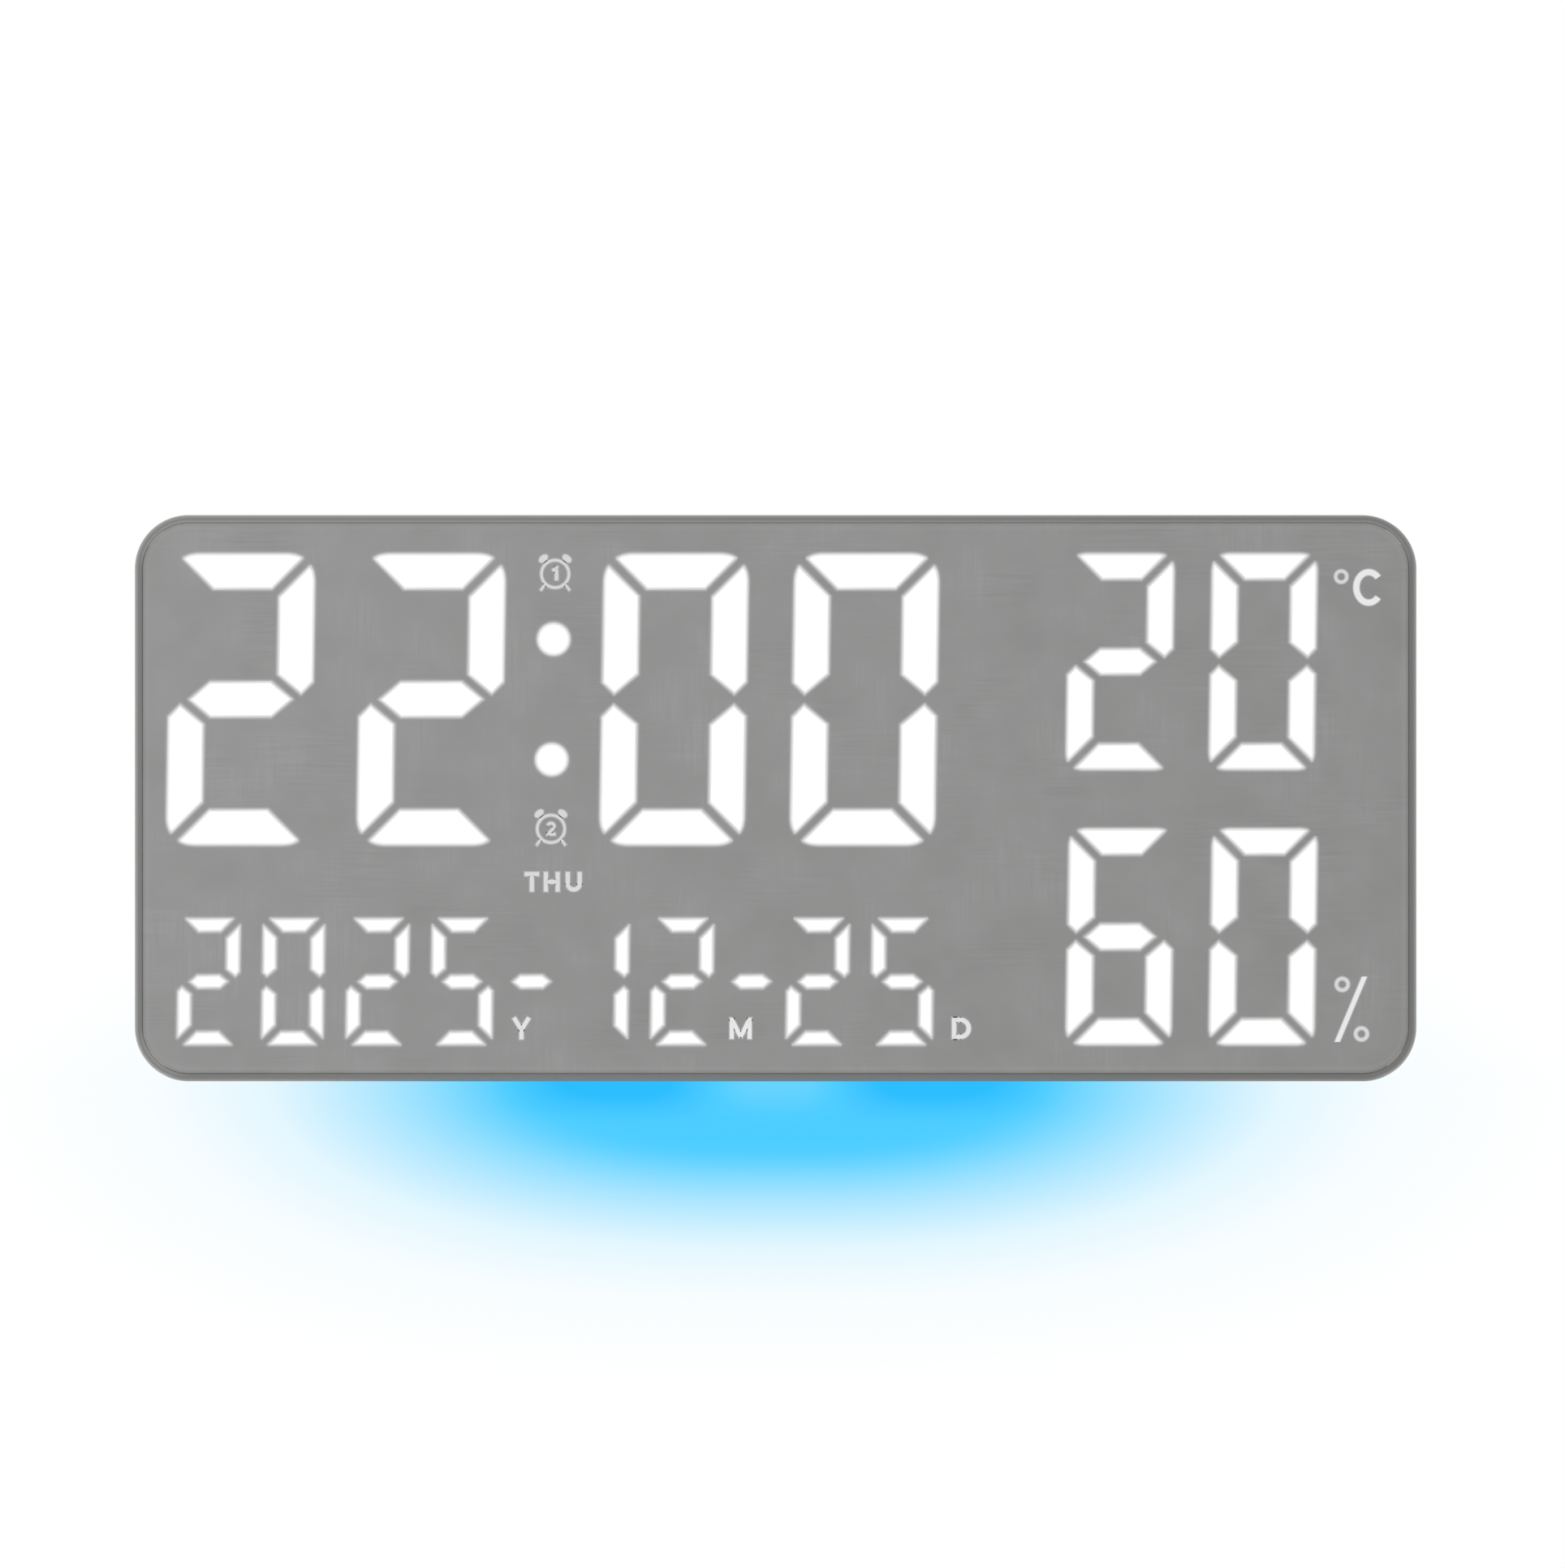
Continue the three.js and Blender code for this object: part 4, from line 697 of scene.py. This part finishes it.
def add_lenses():
    for readout in ("time", "date", "temperature", "humidity"):
        node = f"{readout}_lens"
        low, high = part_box(node)
        sheet_front = high.y - LENS_THICKNESS
        sheet = sheet_shape((low.x, sheet_front, low.z), high, LENS_CORNER, 6)
        islands = rounded_prisms(node, FACE_FRONT + ISLAND_SETBACK, sheet_front + ISLAND_ROOT, RIM_FADE)
        widen(islands, ISLAND_EASE)
        name = f"{readout}_segments"
        piece = add_piece(name, mesh_from(name, join(sheet, islands)), "housing", "lit_lens")
        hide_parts(node)


# Pieces that keep their packed form, with softened edges

def add_softened(node, body, slot_name, reach, segments=2, degrees=35):
    shape = node_shape(node)
    # The faces that round the edges are marked for a painted highlight
    worn = shape.faces.layers.float.new("worn")
    for face in round_edges(shape, sharp_edges(shape, degrees), reach, segments):
        face[worn] = 1.0
    name = node + "_soft"
    piece = add_piece(name, mesh_from(name, shape), body, slot_name)
    smooth_below(piece, 40)
    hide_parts(node)


def turned_shape(profile, x, z, steps=40):
    """A closed shape turned about an axis along Y at x and z, from a profile of radius and y."""
    shape = bmesh.new()
    verts = [shape.verts.new((x + radius, y, z)) for radius, y in profile]
    edges = [shape.edges.new(pair) for pair in zip(verts, verts[1:])]
    bmesh.ops.spin(
        shape, geom=[*verts, *edges], cent=(x, 0, z), axis=(0, 1, 0), angle=2 * math.pi,
        steps=steps, use_merge=True,
    )
    bmesh.ops.remove_doubles(shape, verts=shape.verts, dist=0.001 * MM)
    bmesh.ops.recalc_face_normals(shape, faces=shape.faces)
    return shape


def arc_points(centre, radius, start, end, steps):
    """Points on an arc of a profile, in radius and y, between two angles in degrees."""
    angles = [math.radians(start + (end - start) * i / steps) for i in range(steps + 1)]
    return [(centre[0] + radius * math.cos(a), centre[1] + radius * math.sin(a)) for a in angles]


def box_middle(node):
    low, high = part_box(node)
    return (low.x + high.x) / 2, (low.z + high.z) / 2


def add_cover_screw(number):
    """A pan-head screw with a cross recess, its head towards the wall."""
    node = f"cover_screw_{number}"
    low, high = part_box(node)
    x, z = box_middle(node)
    head, shank, tall, crown = 2.7 * MM, 1.4 * MM, 1.9 * MM, 1.1 * MM
    nib_radius, nib, point, chamfer = shank * 0.35, 0.3 * MM, 1.6 * MM, 0.15 * MM
    arm, web, depth, narrowing = 1.75 * MM, 0.5 * MM, 1.3 * MM, 0.55
    twist = 1.1
    seat = high.y - tall
    shape = turned_shape([
        (0, low.y), (nib_radius, low.y + nib), (shank, low.y + point), (shank, seat),
        (head - chamfer, seat), (head, seat + chamfer), (head, high.y - crown),
        *arc_points((head - crown, high.y - crown), crown, 12, 90, 7), (0, high.y),
    ], x, z)
    turn = Matrix.Rotation(number * twist, 3, "Y")
    slots = []
    for across, up in ((arm, web), (web, arm)):
        slot = block_shape((x - across, high.y - depth, z - up), (x + across, high.y + MM, z + up))
        for vert in slot.verts:
            if vert.co.y < high.y:
                vert.co.x = x + (vert.co.x - x) * narrowing
                vert.co.z = z + (vert.co.z - z) * narrowing
        bmesh.ops.rotate(slot, cent=(x, 0, z), matrix=turn, verts=slot.verts)
        slots.append(slot)
    piece = add_piece(node + "_cross", mesh_from(node, cut_shape(shape, *slots)), "housing", "steel")
    smooth_below(piece, 40)
    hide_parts(node)


BUTTON_BODIES = ("first_button", "second_button", "third_button", "fourth_button", "fifth_button")


def add_button(number, body):
    """A round button with a softly dished top, and the collar that keeps it in."""
    node = f"button_{number}"
    low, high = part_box(node)
    x, z = box_middle(node)
    radius, collar, edge, lip = 3.5 * MM, high.x - x, 0.6 * MM, 1 * MM
    dish = [(radius * 0.6, 0.16 * MM), (radius * 0.3, 0.27 * MM), (0, 0.3 * MM)]
    shape = turned_shape([
        (0, low.y), (collar, low.y), (collar, low.y + lip), (radius, low.y + lip), (radius, high.y - edge),
        *arc_points((radius - edge, high.y - edge), edge, 10, 90, 6),
        *[(across, high.y - deep) for across, deep in dish],
    ], x, z)
    piece = add_piece(node + "_cap", mesh_from(node, shape), body, "dark_plastic")
    smooth_below(piece, 50)
    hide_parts(node)


def add_rear_pieces():
    for number in range(1, 7):
        add_cover_screw(number)
    for number, body in enumerate(BUTTON_BODIES, 1):
        add_button(number, body)
    add_softened("rear_cover", "housing", "cover_plastic", 0.25 * MM)
    add_softened("stand_leg_left", "left_leg", "dark_plastic", 0.25 * MM)
    add_softened("stand_leg_right", "right_leg", "dark_plastic", 0.25 * MM)
    add_softened("battery_door", "hatch", "cover_plastic", 0.12 * MM)


# Lit legends: thin strokes on the face, drawn in X and Z and facing -Y. Each has a wider halo of painted
# light spill under it

LEGEND_RISE = 0.06 * MM
HALO_RISE = 0.02 * MM
LEGEND_ROOT = 0.04 * MM
HALO_REACH = 0.32 * MM
ARC_STEP = math.radians(9)


class Drawing:
    """A flat drawing in strokes, in the plane y = 0. What it draws grows by a reach on every side."""

    def __init__(self, reach):
        self.shape = bmesh.new()
        self.reach = reach

    def along(self, path, width, steps):
        """A ribbon of that width along a path: place and sideways direction at 0 to 1."""
        strip = bmesh.ops.create_grid(self.shape, x_segments=steps, y_segments=1, size=1)
        for vert in strip["verts"]:
            place, sideways = path((vert.co.x + 1) / 2)
            at = place + sideways * (vert.co.y * (width / 2 + self.reach))
            vert.co = (at.x, 0, at.y)
        return strip["verts"]

    def stroke(self, start, end, width):
        """A straight stroke between two points."""
        a, b = Vector(start), Vector(end)
        ahead = (b - a).normalized()
        a, b = a - ahead * self.reach, b + ahead * self.reach
        self.along(lambda t: (a.lerp(b, t), ahead.orthogonal()), width, 1)

    def arc(self, centre, radii, start, end, width):
        """A stroke along part of an ellipse, from one angle to another in degrees."""
        first, last = math.radians(start), math.radians(end)

        def path(t):
            angle = first + (last - first) * t
            place = Vector((radii[0] * math.cos(angle), radii[1] * math.sin(angle)))
            sideways = Vector((radii[1] * math.cos(angle), radii[0] * math.sin(angle))).normalized()
            return Vector(centre) + place, sideways

        verts = self.along(path, width, math.ceil(abs(last - first) / ARC_STEP))
        bmesh.ops.remove_doubles(self.shape, verts=verts, dist=0.001 * MM)

    def ring(self, centre, outer, width):
        radius = (outer - width) / 2
        self.arc(centre, (radius, radius), 0, 360, width)

    def oval(self, centre, radii, tilt):
        """A filled oval, turned by an angle in degrees."""
        disc = bmesh.ops.create_circle(self.shape, cap_ends=True, segments=24, radius=1)
        turn = Matrix.Rotation(math.radians(tilt), 2)
        grown = [radius + self.reach for radius in radii]
        for vert in disc["verts"]:
            at = Vector(centre) + turn @ Vector((vert.co.x * grown[0], vert.co.y * grown[1]))
            vert.co = (at.x, 0, at.y)


def add_legend(name, draw, dimness):
    """A lit legend and its halo of painted light spill. The function draw puts the legend's strokes in a
    drawing.
    """
    for suffix, reach, rise, slot_name, layer, value in (
        ("", 0, LEGEND_RISE, "lit_lens", "rim", dimness),
        ("_halo", HALO_REACH, HALO_RISE, "face_plastic", "spill", 1.0),
    ):
        drawing = Drawing(reach)
        draw(drawing)
        shape = drawing.shape
        grown = bmesh.ops.extrude_face_region(shape, geom=list(shape.faces))
        moved = [item for item in grown["geom"] if isinstance(item, bmesh.types.BMVert)]
        bmesh.ops.translate(shape, vec=(0, -(rise + LEGEND_ROOT), 0), verts=moved)
        bmesh.ops.translate(shape, vec=(0, FACE_FRONT + LEGEND_ROOT, 0), verts=shape.verts)
        bmesh.ops.recalc_face_normals(shape, faces=shape.faces)
        mark = shape.verts.layers.float.new(layer)
        for vert in shape.verts:
            vert[mark] = value
        add_piece(name + suffix, mesh_from(name + suffix, shape), "housing", slot_name)


class Letter:
    """A sans-serif letter in strokes of one width. It fills a box, whose corners are in millimetres."""

    def __init__(self, drawing, low, high, width):
        low, high, width = Vector(low) * MM, Vector(high) * MM, width * MM
        self.drawing = drawing
        self.width = width
        half = width / 2
        self.low, self.high = low, high
        self.left, self.right = low.x + half, high.x - half
        self.foot, self.top = low.y + half, high.y - half
        self.middle = (low.x + high.x) / 2
        self.waist = (low.y + high.y) / 2

    def line(self, *points):
        for start, end in zip(points, points[1:]):
            self.drawing.stroke(start, end, self.width)

    def arc(self, centre, radii, start, end):
        self.drawing.arc(centre, radii, start, end, self.width)

    def stem(self, x):
        self.line((x, self.low.y), (x, self.high.y))

    def draw_T(self):
        self.line((self.low.x, self.top), (self.high.x, self.top))
        self.line((self.middle, self.low.y), (self.middle, self.top))

    def draw_H(self):
        self.stem(self.left)
        self.stem(self.right)
        self.line((self.left, self.waist), (self.right, self.waist))

    def draw_U(self):
        reach = (self.right - self.left) / 2
        turn = self.foot + reach
        self.line((self.left, turn), (self.left, self.high.y))
        self.line((self.right, turn), (self.right, self.high.y))
        self.arc((self.middle, turn), (reach, reach), 180, 360)

    def draw_Y(self):
        fork = self.waist - self.width * 0.2
        meeting = (self.middle, fork - self.width * 0.1)
        spread = self.width * 0.05
        self.line((self.middle, self.low.y), (self.middle, fork))
        self.line((self.left - spread, self.high.y), meeting)
        self.line((self.right + spread, self.high.y), meeting)

    def draw_M(self):
        self.stem(self.left)
        self.stem(self.right)
        dip = (self.middle, self.low.y + self.width * 0.5)
        shoulder = self.high.y - self.width * 0.35
        self.line((self.left, shoulder), dip)
        self.line((self.right, shoulder), dip)

    def draw_D(self):
        self.stem(self.left)
        rise = self.top - self.waist
        start = self.right - rise
        self.line((self.left, self.top), (start, self.top))
        self.line((self.left, self.foot), (start, self.foot))
        self.arc((start, self.waist), (rise, rise), -90, 90)

    def draw_C(self):
        reach = self.middle + (self.high.x - self.low.x) * 0.06
        self.arc((reach, self.waist), (reach - self.left, self.top - self.waist), 40, 320)

    def draw_1(self):
        self.stem(self.right)
        self.line((self.right, self.top), (self.low.x, self.top - self.width * 0.9))

    def draw_2(self):
        reach = (self.right - self.left) / 2
        turn = self.top - reach
        first, last = -35, 165
        self.arc((self.middle, turn), (reach, reach), first, last)
        end = math.radians(first)
        bend = (self.middle + reach * math.cos(end), turn + reach * math.sin(end))
        self.line(bend, (self.left, self.foot))
        self.line((self.low.x, self.foot), (self.high.x, self.foot))


def add_letters(name, dimness, boxes, foot, top, width):
    """Letters on one line, each with its left and right. All in millimetres."""
    def draw(drawing):
        for letter, left, right in boxes:
            getattr(Letter(drawing, (left, foot), (right, top), width), "draw_" + letter)()
    add_legend(name, draw, dimness)


def add_alarm_mark(number, x, z):
    """An alarm clock at a place in millimetres: a round case, two bells, two feet and its number."""
    case, case_line, foot_line = 8.9 * MM, 0.75 * MM, 0.65 * MM
    bell, bell_tilt = (1.5 * MM, 0.95 * MM), 40

    def draw(drawing):
        drawing.ring((x * MM, z * MM), case, case_line)
        for side in (-1, 1):
            drawing.oval(((x + side * 3.5) * MM, (z + 4.55) * MM), bell, -side * bell_tilt)
            foot = [((x + side * dx) * MM, (z + dz) * MM) for dx, dz in ((2.9, -2.9), (4.3, -4.9))]
            drawing.stroke(*foot, foot_line)
        if number == 1:
            Letter(drawing, (x - 0.7, z - 1.9), (x + 0.9, z + 2.3), 1.0).draw_1()
        else:
            Letter(drawing, (x - 1.35, z - 2.0), (x + 1.35, z + 2.1), 0.8).draw_2()
    add_legend(f"alarm_mark_{number}", draw, MARK_DIMNESS)


def draw_degree_ring(drawing):
    drawing.ring((167.7 * MM, 65.7 * MM), 4.15 * MM, 0.85 * MM)


def draw_percent_rings(drawing):
    drawing.ring((168.0 * MM, -55.2 * MM), 4.4 * MM, 0.95 * MM)
    drawing.ring((173.7 * MM, -69.9 * MM), 4.4 * MM, 0.95 * MM)


def draw_percent_bar(drawing):
    foot, head = Vector((166.5, -72.3)) * MM, Vector((174.6, -52.9)) * MM
    drawing.along(lambda t: (foot.lerp(head, t), Vector((1, 0))), 1.5 * MM, 1)


# How dim each kind of legend is, on the scale of the lit segments from middle to rim
MARK_DIMNESS = 0.72
WEEKDAY_DIMNESS = 0.66
LETTER_DIMNESS = 0.57
BROAD_DIMNESS = 0.49
WEEKDAY_LETTERS = (("T", -74.4, -70.1), ("H", -68.7, -64.0), ("U", -62.2, -57.5))


def add_legends():
    add_letters("weekday", WEEKDAY_DIMNESS, WEEKDAY_LETTERS, -27.7, -21.9, 1.2)
    add_letters("year_letter", LETTER_DIMNESS, (("Y", -78.1, -72.6),), -71.5, -65.1, 1.2)
    add_letters("month_letter", BROAD_DIMNESS, (("M", -13.6, -7.1),), -71.4, -65.1, 1.2)
    add_letters("day_letter", LETTER_DIMNESS, (("D", 52.3, 57.9),), -71.4, -65.1, 1.25)
    add_letters("celsius_letter", BROAD_DIMNESS, (("C", 171.3, 179.4),), 57.1, 67.9, 1.75)
    add_legend("degree_ring", draw_degree_ring, MARK_DIMNESS)
    add_legend("percent_rings", draw_percent_rings, MARK_DIMNESS)
    add_legend("percent_bar", draw_percent_bar, BROAD_DIMNESS)
    add_alarm_mark(1, -65.35, 66.5)
    add_alarm_mark(2, -66.6, -9.1)


# Studio

BACKDROP_PLACE = 1 * MM
BACKDROP_SIZE = 3.0
FLOOR_HEIGHT = -0.30
FLOOR_SIZE = 8.0


def glow_field(finish):
    """How far a point of the backdrop lies from the heart of the night light's glow, in pixels of the
    photo: a flat ellipse, with two deeper lobes close to the bar."""
    x, _, z = finish.axes()
    side = abs(x / PIXEL)
    below = (-HALF_HEIGHT - z) / PIXEL
    down = below.math("MAXIMUM", 0)
    up = (-1 * below).math("MAXIMUM", 0)
    flatness, bend, core, squeeze, lift = 0.29, 0.0001, 13, 0.985, 0.6
    spread = (side * flatness + side ** 2 * bend - core).math("MAXIMUM", 0)
    ellipse = (spread ** 2 + down ** 2) ** 0.5 * squeeze + up * lift
    lobes, middle, plain, softness = 70, 35, 93, 30
    near = lobes + (1 - finish.between(side, 20, 165)) * middle
    depth = finish.between(down, 4, 60)
    heart = near * (1 - depth) + depth * plain
    return ellipse.math("SMOOTH_MAX", heart, softness)


# The painted glow's colours at distances from its heart, in pixels of the photo
GLOW_REACH = 400
GLOW_STOPS = (
    (75, (45, 190, 255)), (95, (80, 206, 255)), (120, (130, 219, 255)), (150, (172, 230, 255)),
    (207, (228, 247, 255)), (270, (248, 253, 255)), (375, (255, 255, 255)),
)


def backdrop_finish():
    """White to the camera, with the night light's blue glow painted below the clock. It hides nothing from
    behind and stops no light."""
    finish = Finish("backdrop_white")
    stops = [(place / GLOW_REACH, srgb(*colour)) for place, colour in GLOW_STOPS]
    colour = finish.ramp(glow_field(finish) / GLOW_REACH, stops)
    glow = finish.node("ShaderNodeEmission", inputs={"Color": colour, "Strength": 1.0})
    clear = finish.node("ShaderNodeBsdfTransparent")
    rays = finish.node("ShaderNodeLightPath", output="Is Camera Ray")
    mirrored = finish.node("ShaderNodeLightPath", output="Is Glossy Ray")
    behind = finish.node("ShaderNodeNewGeometry", output="Backfacing")
    hidden = finish.between(edge_distance(finish), 6 * MM, 14 * MM)
    seen = rays.math("MAXIMUM", mirrored * (1 - hidden)) * (1 - behind)
    return finish.show(finish.node("ShaderNodeMixShader", inputs={0: seen, 1: clear, 2: glow}))


def floor_finish():
    """Pale matt floor that fades out far from the clock and is clear from below."""
    finish = Finish("floor_pale")
    x, y, _ = finish.axes()
    cloud = finish.noise(0.4, 3.0, 0.5)
    away = (x ** 2 + y ** 2) ** 0.5
    behind = finish.node("ShaderNodeNewGeometry", output="Backfacing")
    return finish.surface(
        Base_Color=finish.tint(cloud, srgb(238, 238, 237), srgb(243, 243, 242)),
        Emission_Color=srgb(255, 255, 254), Emission_Strength=0.3, Roughness=0.8 + cloud * 0.1,
        Alpha=(1 - finish.between(away, 0.9, 2.4)) * (1 - behind),
    )


def add_plane(name, size, matrix, material):
    shape = bmesh.new()
    bmesh.ops.create_grid(shape, x_segments=1, y_segments=1, size=size / 2, matrix=matrix)
    mesh = mesh_from(name, shape)
    mesh.materials.append(material)
    plane = bpy.data.objects.new(name, mesh)
    bpy.context.scene.collection.objects.link(plane)


def add_stage():
    facing = Matrix.Translation((0, BACKDROP_PLACE, 0)) @ Matrix.Rotation(math.pi / 2, 4, "X")
    add_plane("backdrop", BACKDROP_SIZE, facing, backdrop_finish())
    add_plane("floor", FLOOR_SIZE, Matrix.Translation((0, 0, FLOOR_HEIGHT)), floor_finish())


def add_lamp(name, place, size, power):
    """A square lamp at a place, aimed at the clock."""
    light = bpy.data.lights.new(name, "AREA")
    light.shape = "SQUARE"
    light.size = size
    light.energy = power
    lamp = bpy.data.objects.new(name, light)
    bpy.context.scene.collection.objects.link(lamp)
    lamp.location = place
    lamp.rotation_euler = (-Vector(place)).to_track_quat("-Z", "Y").to_euler()


def add_lights():
    add_lamp("key_lamp", (-1.3, -1.8, 1.4), 1.4, 13)
    add_lamp("fill_lamp", (1.6, -1.7, 0.5), 1.6, 5.6)
    add_lamp("rear_lamp", (0.9, 1.9, 1.5), 1.5, 26)
    add_lamp("low_lamp", (-0.8, 1.4, -0.2), 1.0, 6)


def add_world():
    """White to the camera and to mirrors, and a soft even light on the object."""
    finish = Finish("studio_world", bpy.data.worlds)
    camera = finish.node("ShaderNodeLightPath", output="Is Camera Ray")
    glossy = finish.node("ShaderNodeLightPath", output="Is Glossy Ray")
    through = finish.node("ShaderNodeLightPath", output="Is Transmission Ray")
    seen = camera.math("MAXIMUM", glossy).math("MAXIMUM", through)
    soft = finish.node("ShaderNodeBackground", inputs={"Color": (1, 1, 1, 1), "Strength": 0.55})
    white = finish.node("ShaderNodeBackground", inputs={"Color": (1, 1, 1, 1), "Strength": 1.0})
    mixed = finish.node("ShaderNodeMixShader", inputs={0: seen, 1: soft, 2: white})
    bpy.context.scene.world = finish.show(mixed, "ShaderNodeOutputWorld")


def add_camera():
    data = bpy.data.cameras.new("camera")
    camera = bpy.data.objects.new("camera", data)
    bpy.context.scene.collection.objects.link(camera)
    data.sensor_fit = "VERTICAL"
    data.sensor_height = 36
    data.lens = data.sensor_height * CAMERA_DISTANCE / (PHOTO_HEIGHT * PIXEL)
    data.clip_end = 20
    camera.location = (FRAME_CENTRE[0], FACE_FRONT - CAMERA_DISTANCE, FRAME_CENTRE[1])
    camera.rotation_euler = (math.pi / 2, 0, 0)
    bpy.context.scene.camera = camera


add_camera()
add_stage()
add_lights()
add_world()
dress_nodes()
add_front_frame()
add_face_panel()
add_lenses()
add_rear_pieces()
add_legends()
bpy.context.scene.view_settings.view_transform = "Standard"
